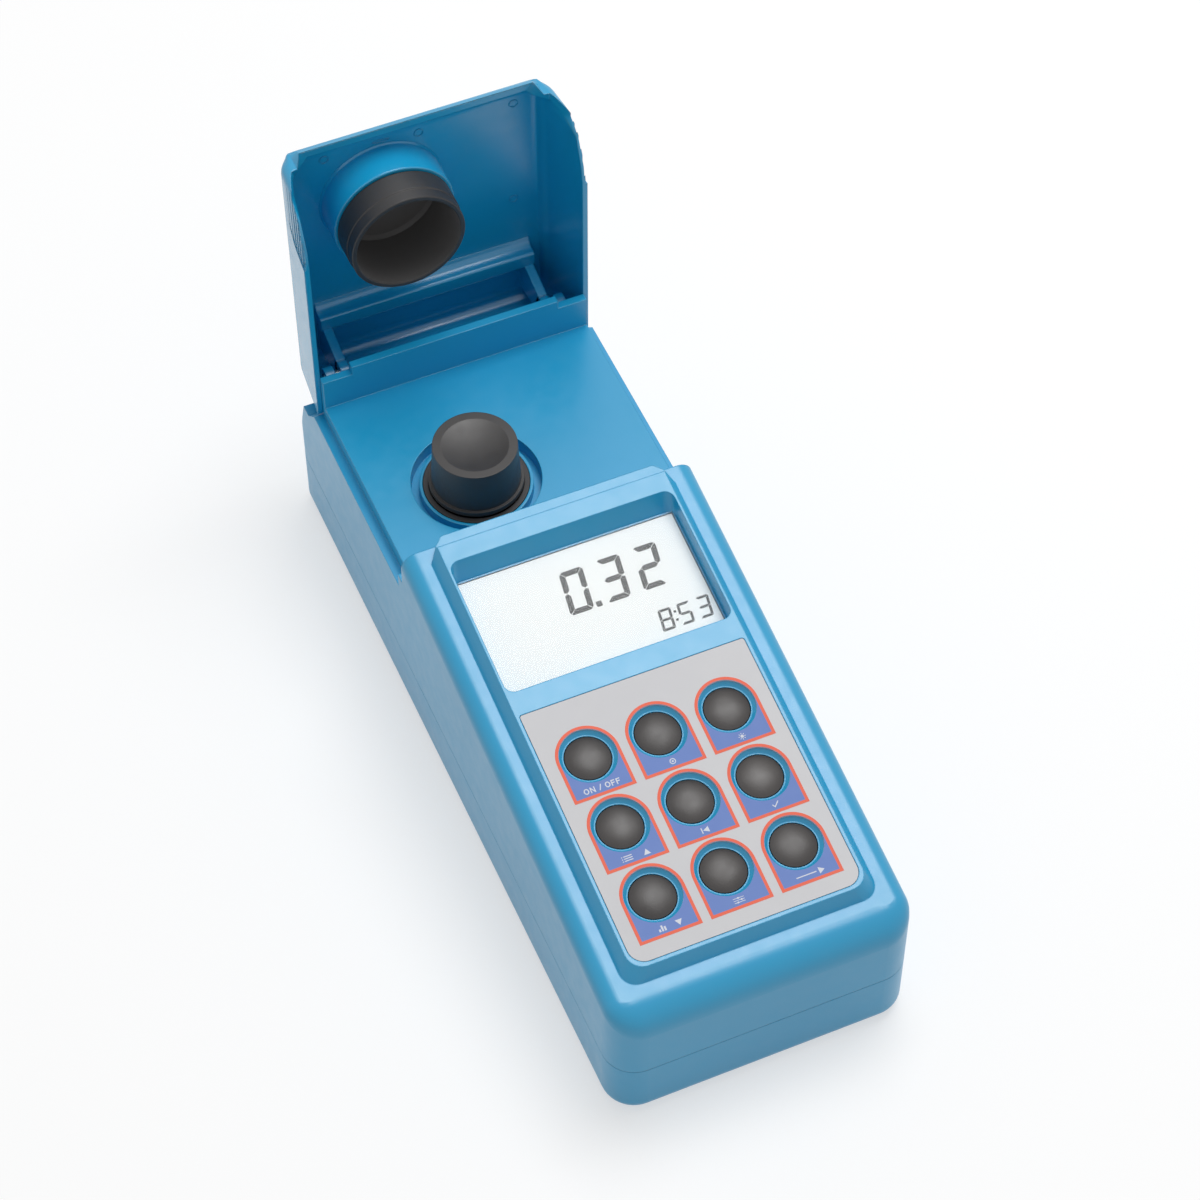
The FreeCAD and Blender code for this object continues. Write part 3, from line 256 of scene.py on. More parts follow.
CASE = case_blue()
LID = lid_blue()
BLACK_PLASTIC = black_plastic()
CAP = cap_black()
KEY = key_dark()
LABEL = label_grey()
SALMON_INK = ink("salmon_ink", SALMON)
VIOLET_INK = ink("violet_ink", VIOLET)
WHITE_INK = ink("white_ink", PRINT_WHITE)
DISPLAY = display_white()
SEGMENT_INK = ink("segment_ink", DISPLAY_INK)
WINDOW = thin_clear("window_clear", (0.96, 0.98, 0.98, 1.0))
GLASS = clear("cuvette_glass", (0.95, 0.97, 0.97, 1.0))
WATER = clear("water", (0.93, 0.97, 0.98, 1.0))
PIN_STEEL = metal("pin_steel", STEEL, 0.25)
RUBBER = rubber()
# Painted light: a lighter grey for the cup's inside, which offsets the shade that falls in its bore
CUP_INSIDE_PAINTED_LIGHT = moulded("cup_inside_painted_light", linear(92, 91, 91), linear(96, 95, 95), 0.6, 0.7)

FINISHES = {
    "upper_housing": CASE, "lower_housing": CASE, "lid": LID, "battery_door": CASE,
    "light_shield_cup": BLACK_PLASTIC, "optical_block": BLACK_PLASTIC, "power_jack": BLACK_PLASTIC,
    "cuvette_cap": CAP, "key_label": LABEL, "display_glass": DISPLAY, "display_window": WINDOW,
    "cuvette_glass": GLASS, "water_sample": WATER, "rubber_feet": RUBBER, "cap_seal": RUBBER,
    "key_mat": RUBBER, "usb_socket": PIN_STEEL,
}
for name, node in nodes.items():
    finish = FINISHES.get(name)
    if name.startswith("key_") and name[4:].isdigit():
        finish = KEY
    if name.startswith("hinge_pin") or "screw" in name:
        finish = PIN_STEEL
    if finish:
        for slot in node.material_slots:
            slot.material = finish

# Panel frame, read from the centre key and the label
press = Vector(joints["key_5_press"]["axis"])
SLOPE = atan2(press.y, -press.z)
ACROSS = Vector((1, 0, 0))
ALONG = Vector((0, cos(SLOPE), sin(SLOPE)))
OFF = Vector((0, -sin(SLOPE), cos(SLOPE)))
label_low, label_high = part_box("key_label")
LABEL_THICK = 0.5 * MM
label_length = (label_high.y - label_low.y - LABEL_THICK * sin(SLOPE)) / cos(SLOPE)
label_front_top = Vector((0, label_low.y, label_high.z - label_length * sin(SLOPE)))
KEY_BOXES = [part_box(f"key_{number}") for number in range(1, 10)]
KEY_CENTRES = [(low + high) / 2 for low, high in KEY_BOXES]


def panel_coordinates(point):
    """(across, along, off) of a point, with the label's front top edge as the origin."""
    offset = point - label_front_top
    return offset.dot(ACROSS), offset.dot(ALONG), offset.dot(OFF)


def on_panel(across, along, off=0.0):
    return label_front_top + across * ACROSS + along * ALONG + off * OFF


# Mesh helpers
def mesh_object(name, points, faces, material, smooth=False):
    mesh = bpy.data.meshes.new(name)
    mesh.from_pydata([tuple(point) for point in points], [], faces)
    mesh.update()
    mesh.materials.append(material)
    piece = bpy.data.objects.new(name, mesh)
    scene.collection.objects.link(piece)
    for polygon in mesh.polygons:
        polygon.use_smooth = smooth
    return piece


def dress(piece, body):
    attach(piece, body)
    return piece


def print_plate(name, loops, material, low, high, place):
    """Flat printed shapes: each loop is an outline in (u, v), and place(u, v, w) gives its point."""
    points, faces = [], []
    for loop in loops:
        if signed_area(loop) < 0:
            loop = loop[::-1]
        start, count = len(points), len(loop)
        points += [place(u, v, low) for u, v in loop]
        points += [place(u, v, high) for u, v in loop]
        faces.append([start + count + index for index in range(count)])
        faces.append([start + index for index in reversed(range(count))])
        for index in range(count):
            following = (index + 1) % count
            faces.append([start + index, start + following, start + count + following,
                          start + count + index])
    return mesh_object(name, points, faces, material)


def signed_area(loop):
    """Positive where the outline runs anticlockwise."""
    return sum(u0 * v1 - u1 * v0 for (u0, v0), (u1, v1) in zip(loop, loop[1:] + loop[:1])) / 2


def band_plate(name, inner, outer, material, low, high, place):
    """A flat closed band between two outlines that have as many points."""
    count = len(inner)
    points = [place(u, v, w) for w in (low, high) for loop in (inner, outer) for u, v in loop]
    faces = []
    up = 2 * count
    for index in range(count):
        following = (index + 1) % count
        i0, i1, o0, o1 = index, following, count + index, count + following
        faces.append([i0 + up, o0 + up, o1 + up, i1 + up])
        faces.append([i0, i1, o1, o0])
        faces.append([o0, o1, o1 + up, o0 + up])
        faces.append([i1, i0, i0 + up, i1 + up])
    return mesh_object(name, points, faces, material)


# Outlines of small printed signs, in millimetres
def disc(u, v, radius, steps=16):
    return [(u + radius * cos(2 * pi * step / steps), v + radius * sin(2 * pi * step / steps))
            for step in range(steps)]


def half_ring(u, v, radius_u, radius_v, width, start, steps=10):
    """Half of an oval ring, from the start angle on."""
    angles = [start + pi * step / steps for step in range(steps + 1)]
    outer = [(u + radius_u * cos(angle), v + radius_v * sin(angle)) for angle in angles]
    inner = [(u + (radius_u - width) * cos(angle), v + (radius_v - width) * sin(angle))
             for angle in reversed(angles)]
    return outer + inner


def ring(u, v, radius_u, radius_v, width):
    return [half_ring(u, v, radius_u, radius_v, width, start) for start in (pi / 2, -pi / 2)]


def block(u, v, width, height):
    """Rectangle by its middle."""
    return [(u - width / 2, v - height / 2), (u + width / 2, v - height / 2),
            (u + width / 2, v + height / 2), (u - width / 2, v + height / 2)]


def triangle(u, v, width, height, turn):
    """Triangle that points along the turn angle."""
    corners = [(height / 2, 0), (-height / 2, width / 2), (-height / 2, -width / 2)]
    return [(u + x * cos(turn) - y * sin(turn), v + x * sin(turn) + y * cos(turn)) for x, y in corners]


SIGN_HEIGHT = 1.65
SIGN_STROKE = 0.3
SIGN_PLACE = -9.4


def letter_n(u, v, width, height, stroke):
    diagonal = 1.7 * stroke
    outline = [(0, 0), (0, height), (stroke, height), (width - stroke, diagonal), (width - stroke, height),
               (width, height), (width, 0), (width - stroke, 0), (stroke, height - diagonal), (stroke, 0)]
    return [(u + x, v + y) for x, y in outline]


def letter_f(u, v, width, height, stroke):
    middle, arm = 0.52 * height, 0.88 * width
    outline = [(0, 0), (0, height), (width, height), (width, height - stroke), (stroke, height - stroke),
               (stroke, middle + stroke / 2), (arm, middle + stroke / 2), (arm, middle - stroke / 2),
               (stroke, middle - stroke / 2), (stroke, 0)]
    return [(u + x, v + y) for x, y in outline]


def sign_on_off():
    """ON / OFF, centred under the key, with each letter's place across."""
    low, half = SIGN_PLACE - SIGN_HEIGHT / 2, SIGN_HEIGHT / 2
    n_width, f_width = 1.35, 1.1
    first_o, n_left, second_o, f_lefts = -4.5, -3.45, 1.4, (2.4, 3.8)
    slash_left, slash_lean = -1.15, 0.7
    o_radius = n_width / 2 + 0.05
    loops = ring(first_o, SIGN_PLACE, o_radius, half, SIGN_STROKE)
    loops.append(letter_n(n_left, low, n_width, SIGN_HEIGHT, SIGN_STROKE))
    loops.append([(slash_left, low), (slash_left + SIGN_STROKE, low),
                  (slash_left + SIGN_STROKE + slash_lean, low + SIGN_HEIGHT),
                  (slash_left + slash_lean, low + SIGN_HEIGHT)])
    loops += ring(second_o, SIGN_PLACE, o_radius, half, SIGN_STROKE)
    for left in f_lefts:
        loops.append(letter_f(left, low, f_width, SIGN_HEIGHT, SIGN_STROKE))
    return loops


def sign_target(u=0.0):
    radius, width, middle = 0.85, 0.25, 0.28
    return ring(u, SIGN_PLACE, radius, radius, width) + [disc(u, SIGN_PLACE, middle)]


def sign_lamp(u=0.0):
    """A sun: a disc and eight rays."""
    middle, ray_start, ray_end, ray_half = 0.45, 0.62, 1.0, 0.1
    loops = [disc(u, SIGN_PLACE, middle)]
    corners = [(ray_start, -ray_half), (ray_end, -ray_half), (ray_end, ray_half), (ray_start, ray_half)]
    for step in range(8):
        turn = pi * step / 4
        loops.append([(u + x * cos(turn) - y * sin(turn), SIGN_PLACE + x * sin(turn) + y * cos(turn))
                      for x, y in corners])
    return loops


def sign_list(u=0.0):
    """Three lines of a list, each behind a dot."""
    pitch, thick = 0.62, 0.26
    line_middle, line_width = 0.35, 2.3
    dot_middle, dot_width = -1.25, 0.3
    loops = []
    for row in (-pitch, 0.0, pitch):
        loops.append(block(u + line_middle, SIGN_PLACE + row, line_width, thick))
        loops.append(block(u + dot_middle, SIGN_PLACE + row, dot_width, thick))
    return loops


def sign_recall(u=0.0):
    """A pointer back to a bar."""
    return [block(u - 1.0, SIGN_PLACE, 0.28, SIGN_HEIGHT),
            triangle(u + 0.1, SIGN_PLACE, SIGN_HEIGHT, 1.6, pi)]


def sign_tick(u=0.0):
    outline = [(-0.95, 0.05), (-0.35, -0.8), (1.1, 0.65), (0.88, 0.85), (-0.32, -0.36), (-0.72, 0.24)]
    return [[(u + x, SIGN_PLACE + y) for x, y in outline]]


def sign_columns(u=0.0):
    """Three columns of a chart."""
    low, pitch, width = SIGN_PLACE - SIGN_HEIGHT / 2, 0.75, 0.5
    return [block(u + pitch * step, low + height / 2, width, height)
            for step, height in ((-1, 0.75), (0, 1.65), (1, 1.2))]


def sign_sliders(u=0.0):
    """Three lines, each with a knob at another place."""
    half, knob_half, thick = 1.5, 0.22, 0.16
    loops = []
    for row, knob in ((-0.6, -0.5), (0.0, 0.7), (0.6, -0.1)):
        v, left, right = SIGN_PLACE + row, knob - knob_half, knob + knob_half
        loops.append(block(u + (left - half) / 2, v, left + half, thick))
        loops.append(block(u + (right + half) / 2, v, half - right, thick))
        loops.append(block(u + knob, v, 2 * knob_half, 2 * knob_half))
    return loops


def sign_pointer(u, turn):
    return [triangle(u, SIGN_PLACE, 1.9, 1.6, turn)]


KEY_SIGNS = {
    1: sign_on_off(), 2: sign_target(), 3: sign_lamp(),
    4: sign_list(-2.2) + sign_pointer(3.2, pi / 2), 5: sign_recall(), 6: sign_tick(),
    7: sign_columns(-1.6) + sign_pointer(3.1, -pi / 2), 8: sign_sliders(),
    9: [block(-0.9, SIGN_PLACE, 5.6, SIGN_STROKE)] + sign_pointer(3.4, 0.0),
}

# Key graphics: an arch-shaped patch round each key, with an outline and a sign
PRINT_GAP = 0.01 * MM
PRINT_THICK = 0.03 * MM
FUNNEL_RADIUS = 7.72 * MM
ARCH_RADIUS = 7.78 * MM
ARCH_LINE = 0.85 * MM
ARCH_FOOT = 10.9 * MM


def arch(radius, foot, steps=28):
    """Half circle over two straight sides, from the lower right corner round to the lower left."""
    corners = [(radius, -foot)]
    for step in range(steps + 1):
        angle = pi * step / steps
        corners.append((radius * cos(angle), radius * sin(angle)))
    corners.append((-radius, -foot))
    return corners


def arch_edge(angle):
    """Where a ray from the key's centre meets the inside of the arch."""
    u, v = cos(angle), sin(angle)
    if v >= 0:
        return ARCH_RADIUS * u, ARCH_RADIUS * v
    reach = min(ARCH_RADIUS / max(abs(u), 1e-9), ARCH_FOOT / abs(v))
    return reach * u, reach * v


def patch_angles(steps=72):
    """Even steps round the key, with the two lower corners of the arch among them."""
    corner = atan2(ARCH_FOOT, ARCH_RADIUS)
    return sorted([2 * pi * step / steps for step in range(steps)] + [2 * pi - corner, pi + corner])


def key_graphics(number, centre):
    across, along, _ = panel_coordinates(centre)

    def place(u, v, w):
        return on_panel(across + u, along + v, w)

    def place_sign(u, v, w):
        return place(u * MM, v * MM, w)

    top = PRINT_GAP + PRINT_THICK
    outer = arch(ARCH_RADIUS + ARCH_LINE, ARCH_FOOT + ARCH_LINE)
    inner = arch(ARCH_RADIUS, ARCH_FOOT)
    line = band_plate(f"key_outline_{number}", inner, outer, SALMON_INK, PRINT_GAP, top, place)
    dress(line, "case")
    # The patch lies between the funnel's edge and the outline
    angles = patch_angles()
    rim = [(FUNNEL_RADIUS * cos(angle), FUNNEL_RADIUS * sin(angle)) for angle in angles]
    edge = [arch_edge(angle) for angle in angles]
    patch = band_plate(f"key_patch_{number}", rim, edge, VIOLET_INK, PRINT_GAP, top, place)
    dress(patch, "case")
    sign = print_plate(f"key_sign_{number}", KEY_SIGNS[number], WHITE_INK, top, top + PRINT_THICK, place_sign)
    dress(sign, "case")


for number, centre in enumerate(KEY_CENTRES, 1):
    key_graphics(number, centre)

# Display digits, in millimetres: places of the lower left corners, across and along from the middle key
BIG_FIGURES = "032"
SMALL_FIGURES = "853"
SLANT = 0.14
BIG = dict(width=6.8, height=13.1, stroke=1.6)
SMALL = dict(width=3.7, height=6.5, stroke=0.75)
BIG_LEFT = (-6.2, 4.5, 15.1)
BIG_LOW = 63.4
SMALL_LEFT = (14.9, 20.4, 25.9)
SMALL_LOW = 50.1
POINT_LEFT = 1.5
POINT_SIDE = 1.6
COLON_LEFT = 19.55
COLON_RADIUS = 0.42
COLON_SHARES = (0.33, 0.72)


def seven_segments(figure):
    """Which of the segments a to g are on."""
    return {"0": "abcdef", "1": "bc", "2": "abged", "3": "abgcd", "4": "fgbc", "5": "afgcd",
            "6": "afgedc", "7": "abc", "8": "abcdefg", "9": "abcdfg"}[figure]


def segment_loops(figure, u, v, width, height, stroke):
    """Outlines of the lit segments of one figure whose lower left corner is at (u, v)."""
    cut, gap, middle = 0.45 * stroke, 0.06 * stroke, height / 2
    # Upper bar and upper left bar; the others are their mirror images
    bar = [(cut + gap, height), (width - cut - gap, height), (width - cut / 2 - gap, height - cut / 2),
           (width - stroke - gap, height - stroke), (stroke + gap, height - stroke),
           (cut / 2 + gap, height - cut / 2)]
    post = [(0, height - cut - gap), (cut / 2, height - cut / 2 - gap), (stroke, height - stroke - gap),
            (stroke, middle + stroke / 2 + gap), (stroke / 2, middle + gap), (0, middle + stroke / 4 + gap)]

    def flip_u(loop):
        return [(width - x, y) for x, y in loop]

    def flip_v(loop):
        return [(x, height - y) for x, y in loop]

    bars = {"a": bar, "d": flip_v(bar), "f": post, "b": flip_u(post), "e": flip_v(post),
            "c": flip_v(flip_u(post)),
            "g": [(stroke / 2 + gap, middle), (stroke + gap, middle + stroke / 2),
                  (width - stroke - gap, middle + stroke / 2), (width - stroke / 2 - gap, middle),
                  (width - stroke - gap, middle - stroke / 2), (stroke + gap, middle - stroke / 2)]}
    return [[(u + x + y * SLANT, v + y) for x, y in bars[segment]] for segment in seven_segments(figure)]


def display_surface():
    """Off-surface height of the display glass's top."""
    return max(panel_coordinates(vertex.co)[2] for vertex in nodes["display_glass"].data.vertices)


DISPLAY_OFF = display_surface()
KEY_MIDDLE = panel_coordinates(KEY_CENTRES[4])[1]


def on_display(u, v, w):
    """A point of the display, with (across, along from the middle key) in millimetres."""
    return on_panel(u * MM, KEY_MIDDLE + v * MM, DISPLAY_OFF + w)


def display_digits():
    loops = []
    for figure, left in zip(BIG_FIGURES, BIG_LEFT):
        loops += segment_loops(figure, left, BIG_LOW, **BIG)
    for figure, left in zip(SMALL_FIGURES, SMALL_LEFT):
        loops += segment_loops(figure, left, SMALL_LOW, **SMALL)
    loops.append(block(POINT_LEFT + POINT_SIDE / 2, BIG_LOW + POINT_SIDE / 2, POINT_SIDE, POINT_SIDE))
    for share in COLON_SHARES:
        rise = share * SMALL["height"]
        loops.append(disc(COLON_LEFT + rise * SLANT, SMALL_LOW + rise, COLON_RADIUS, 12))
    digits = print_plate("display_digits", loops, SEGMENT_INK, PRINT_GAP, PRINT_GAP + PRINT_THICK, on_display)
    dress(digits, "case")


display_digits()


# Lid: its moulded form, made closed in millimetres and turned open about the hinge
hinge_y, hinge_z = (part / MM for part in joints["lid_hinge"]["pos_m"][1:])
lid_low, lid_high = (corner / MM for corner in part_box("lid"))
FRONT_SET_BACK = 0.2
SIDE_SET_BACK = 1.0
LID_TOP = hinge_z + lid_high.y - hinge_y
LID_RIM = hinge_z + lid_low.y - hinge_y
LID_REAR = hinge_y + hinge_z - lid_low.z
LID_FRONT = hinge_y + hinge_z - lid_high.z + FRONT_SET_BACK
LID_HALF = lid_high.x - SIDE_SET_BACK
LID_WALL = 2.2
LID_RIM_WALL = 1.55
LID_DRAFT = 2.4
LID_ROOF = LID_TOP - LID_WALL
ROOM_TURN = 57.5
# Rounding at the top edge, at the ears and at the rear corners, outside and in the room inside
LID_ROUND, EAR_ROUND, REAR_ROUND = 6.5, 3.0, 5.0
ROOM_ROUND, ROOM_EAR_ROUND, ROOM_REAR_ROUND = 4.3, 1.5, 3.0
ROUND_STEPS = 8
CORNER_GAP = 0.2
LEAST_STEP = 0.01
REAR_MARGIN = 0.1
# Nose and ears in plan
NOSE_HALF = 33.7
NOSE_SLANT = 1.8
EAR_BACK = 2.3
# Heights of the rim, from the nose round to the rear
NOSE_RIM = 72.0
EAR_RIM = 68.5
SIDE_RIM = 56.3
LEDGE_RISE = 0.7
REAR_CORNER_RISE = 3.9
REAR_RIM = hinge_z + 1.5
# Distances out from the nose where its rim steps down to the ears, and the ears' fall beyond their shoulder
STEP_START, STEP_END = 0.2, 1.9
EAR_SHOULDER = LID_HALF - 2.2
EAR_FALL = 3.78
# Places along the lid where its rim changes its course
FRONT_RIM_END = LID_FRONT + 4.8
EAR_END = LID_FRONT + 8.9
SIDE_FALL_START = LID_FRONT + 8.8
SIDE_FALL_END = LID_FRONT + 17.4
LEDGE_START = LID_FRONT + 23.4
LEDGE_MIDDLE = LID_REAR - 10
LEDGE_END = LID_REAR - 5.4


def on_lid(x, y, z):
    """Place on the open lid of a point of the closed one."""
    return Vector((x, hinge_y + z - hinge_z, hinge_z + hinge_y - y)) * MM


def between(value, low, high, at_low, at_high):
    """A straight run from at_low to at_high, level outside low and high."""
    share = min(max((value - low) / (high - low), 0.0), 1.0)
    return at_low + share * (at_high - at_low)


def side_rim(y):
    """The rim at the sides falls to the ledges, and rises again before the rear wall."""
    if y < SIDE_FALL_END:
        return between(y, SIDE_FALL_START, SIDE_FALL_END, SIDE_RIM, LID_RIM + LEDGE_RISE)
    if y < LEDGE_MIDDLE:
        return between(y, SIDE_FALL_END, LEDGE_START, LID_RIM + LEDGE_RISE, LID_RIM)
    return between(y, LEDGE_END, LID_REAR - LID_WALL, LID_RIM, LID_RIM + REAR_CORNER_RISE)


def rim_height(x, y):
    """Height of the rim of the closed lid at a point of its plan."""
    if y > LID_REAR - LID_WALL - REAR_MARGIN:
        return REAR_RIM
    front = between(abs(x), NOSE_HALF + STEP_START, NOSE_HALF + STEP_END, NOSE_RIM, EAR_RIM)
    front -= EAR_FALL * max(abs(x) - EAR_SHOULDER, 0.0)
    return between(y, FRONT_RIM_END, EAR_END, front, side_rim(y))


def rounded_outline(corners):
    """Closed outline through (x, y, radius) corners."""
    points = []
    for index, (x, y, radius) in enumerate(corners):
        here = Vector((x, y))
        if not radius:
            points.append(here)
            continue
        before = (Vector(corners[index - 1][:2]) - here).normalized()
        after = (Vector(corners[(index + 1) % len(corners)][:2]) - here).normalized()
        half = before.angle(after) / 2
        centre = here + (before + after).normalized() * radius / sin(half)
        start = here + before * radius / tan(half) - centre
        end = here + after * radius / tan(half) - centre
        first = atan2(start.y, start.x)
        turn = (atan2(end.y, end.x) - first + pi) % (2 * pi) - pi
        for step in range(ROUND_STEPS + 1):
            angle = first + turn * step / ROUND_STEPS
            points.append(centre + radius * Vector((cos(angle), sin(angle))))
    return points


def lid_plan(inset, wall, rim_wall, ear_radius, rear_radius):
    """Plan of the lid: a nose, a slant back to each ear, and the sides."""
    front = LID_FRONT + wall + inset
    ear = max(LID_FRONT + wall + EAR_BACK, front + LEAST_STEP)
    side = LID_HALF - rim_wall - inset
    rear = LID_REAR - wall - inset
    past_ear = max(EAR_END, ear + ear_radius + CORNER_GAP)
    before_rear = min(LEDGE_END, rear - rear_radius - CORNER_GAP)
    right = [(NOSE_HALF - wall, front, 0), (NOSE_HALF - wall + NOSE_SLANT, ear, 0), (side, ear, ear_radius),
             (side, past_ear, 0), (side, SIDE_FALL_END, 0), (side, LEDGE_START, 0),
             (side, before_rear, 0), (side, rear, rear_radius)]
    return rounded_outline(right + [(-x, y, radius) for x, y, radius in reversed(right)])


def lid_level(plan, height, lean):
    """Points of one level of the wall, never below the rim, with the sides leaning in."""
    points = []
    for x, y in plan:
        z = max(height, rim_height(x, y))
        share = between(abs(x), NOSE_HALF + NOSE_SLANT, LID_HALF - LID_WALL, 0.0, 1.0)
        points.append(on_lid(x - share * lean(z) * (1 if x > 0 else -1), y, z))
    return points


def outer_lean(z):
    return LID_DRAFT * (z - LID_RIM) / (LID_TOP - LID_RIM)


def inner_lean(z):
    return between(z, ROOM_TURN, LID_ROOF, 0.0, LID_DRAFT + LID_WALL - LID_RIM_WALL)


def round_levels(top, radius):
    """(inset, height) of each level of a rounded edge."""
    angles = [pi / 2 * step / ROUND_STEPS for step in range(ROUND_STEPS + 1)]
    return [(radius * (1 - cos(angle)), top - radius + radius * sin(angle)) for angle in angles]


def lid_shell():
    """Closed wall of stacked levels, from the middle of the top down to the rim and up to the roof."""
    outer = [lid_level(lid_plan(inset, 0, 0, EAR_ROUND, REAR_ROUND), height, outer_lean)
             for inset, height in [(0, 0)] + round_levels(LID_TOP, LID_ROUND)]
    inner = [lid_level(lid_plan(inset, LID_WALL, LID_RIM_WALL, ROOM_EAR_ROUND, ROOM_REAR_ROUND),
                       height, inner_lean)
             for inset, height in [(0, 0), (0, ROOM_TURN)] + round_levels(LID_ROOF, ROOM_ROUND)]
    levels = outer[::-1] + inner
    count = len(levels[0])
    points = [point for level in levels for point in level]
    faces = [list(range(count)), list(range(len(points) - count, len(points)))]
    for row in range(len(levels) - 1):
        for index in range(count):
            following = (index + 1) % count
            faces.append([row * count + index, row * count + following,
                          (row + 1) * count + following, (row + 1) * count + index])
    return face_outward(mesh_object("lid_shell", points, faces, LID, smooth=True))


def face_outward(piece):
    """Turn the faces of a closed mesh outward."""
    work = bmesh.new()
    work.from_mesh(piece.data)
    bmesh.ops.remove_doubles(work, verts=work.verts, dist=0.002 * MM)
    bmesh.ops.recalc_face_normals(work, faces=work.faces)
    work.to_mesh(piece.data)
    work.free()
    return piece


def sharpen(piece, angle=32):
    """Smooth shading, with sharp edges where faces turn by more than that."""
    for polygon in piece.data.polygons:
        polygon.use_smooth = True
    piece.data.set_sharp_from_angle(angle=radians(angle))
    return piece


def carve(piece, cutter):
    """Cut one closed mesh out of another."""
    modifier = piece.modifiers.new("carve", "BOOLEAN")
    modifier.operation = "DIFFERENCE"
    modifier.solver = "EXACT"
    modifier.object = cutter
    bpy.context.view_layer.update()
    carved = bpy.data.meshes.new_from_object(piece.evaluated_get(bpy.context.evaluated_depsgraph_get()))
    piece.modifiers.remove(modifier)
    piece.data = carved
    bpy.data.objects.remove(cutter)


# Finger grips: a ribbed scoop in each side wall, rounded at its upper rear corner
GRIP_DEPTH = 0.75
GRIP_LENGTH = 21.0
GRIP_HEIGHT = 15.7
GRIP_CORNER = 9.0
RIB_PITCH = 2.3
RIB_WIDTH = 0.7
RIB_HEIGHT = 0.4
CUTTER_REACH = 3.0
CUTTER_BELOW = 2.0
CUTTER_AHEAD = 1.0
RIB_TOP_GAP = 0.2


def grip_end(z):
    """Rear end of the grip at a height."""
    above = max(z - (LID_RIM + GRIP_HEIGHT - GRIP_CORNER), 0.0)
    return LID_FRONT + EAR_BACK + GRIP_LENGTH - GRIP_CORNER + sqrt(max(GRIP_CORNER ** 2 - above ** 2, 0.0))


def grip_cutter(sign, low, high, depth, steps=10):
    """A cutter between two heights, whose floor meets the wall's face at the grip's top."""
    heights = [low + (high - low) * step / steps for step in range(steps + 1)]
    start = LID_FRONT - CUTTER_AHEAD
    outline = [(start, low)] + [(grip_end(z), z) for z in heights] + [(start, high)]
    meet = LID_HALF - outer_lean(LID_RIM + GRIP_HEIGHT)

    def place(y, z, w):
        floor_x = between(z, LID_RIM, LID_RIM + GRIP_HEIGHT, LID_HALF - depth, meet)
        return on_lid(sign * (floor_x + w * CUTTER_REACH), y, z)

    return face_outward(print_plate("grip_cutter", [outline], LID, 0.0, 1.0, place))


def lid():
    """The shell, with a scoop cut to the height of the ribs and the strips between them cut deeper."""
    shell = lid_shell()
    for sign in (-1, 1):
        carve(shell, grip_cutter(sign, LID_RIM - CUTTER_BELOW, LID_RIM + GRIP_HEIGHT - RIB_TOP_GAP,
                                 GRIP_DEPTH - RIB_HEIGHT))
        for count in range(int(GRIP_HEIGHT / RIB_PITCH)):
            low = LID_RIM + count * RIB_PITCH + RIB_WIDTH / 2
            carve(shell, grip_cutter(sign, low, low + RIB_PITCH - RIB_WIDTH, GRIP_DEPTH))
    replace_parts(dress(sharpen(shell), "lid"), "lid")


lid()

# Inside the lid: collar, cross rib, hinge lugs, ejector marks
cup_low, cup_high = (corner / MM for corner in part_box("light_shield_cup"))
CUP_X = (cup_low.x + cup_high.x) / 2
CUP_Y = hinge_y + hinge_z - (cup_low.z + cup_high.z) / 2
CUP_TIP = hinge_z + cup_low.y - hinge_y
CUP_RADIUS = 16.7
CUP_TIP_RADIUS = 16.45
CUP_TIP_LENGTH = 3.4
CUP_BORE = 15.0
CUP_DEPTH = 18.6
CUP_CORNER = 1.0
CUP_SEAT = 16.05
CUP_SHOULDER = 0.35
CUP_GAP = 0.1
COLLAR_RADIUS = 17.6
COLLAR_LENGTH = 10.4
COLLAR_END = LID_ROOF - COLLAR_LENGTH
COLLAR_FLARE = 0.6
SEAT_GAP = 0.05
EDGE = 0.25
SINK = 0.1
LATHE_STEPS = 96


def lathe(name, profile, material, closed, steps=LATHE_STEPS):
    """A round piece about the cup's axis, from (radius, height) points of the closed lid."""
    points, rings = [], []
    for radius, z in profile:
        turns = steps if radius else 1
        rings.append([len(points) + step for step in range(turns)])
        points += [on_lid(CUP_X + radius * cos(2 * pi * step / turns),
                          CUP_Y + radius * sin(2 * pi * step / turns), z) for step in range(turns)]
    pairs = list(zip(rings, rings[1:])) + ([(rings[-1], rings[0])] if closed else [])
    faces = []
    for low, high in pairs:
        for step in range(steps):
            following = (step + 1) % steps
            corners = [low[step % len(low)], low[following % len(low)],
                       high[following % len(high)], high[step % len(high)]]
            faces.append(list(dict.fromkeys(corners)))
    return mesh_object(name, points, faces, material)


def lid_collar():
    """Round collar on the roof that holds the cup, flared where it meets the roof."""
    seat = CUP_SEAT + SEAT_GAP
    profile = [(seat, COLLAR_END + EDGE), (seat + EDGE, COLLAR_END), (COLLAR_RADIUS - EDGE, COLLAR_END),
               (COLLAR_RADIUS, COLLAR_END + EDGE), (COLLAR_RADIUS, LID_ROOF - COLLAR_FLARE),
               (COLLAR_RADIUS + COLLAR_FLARE, LID_ROOF + SINK), (seat, LID_ROOF + SINK)]
    dress(sharpen(face_outward(lathe("lid_collar", profile, LID, True))), "lid")


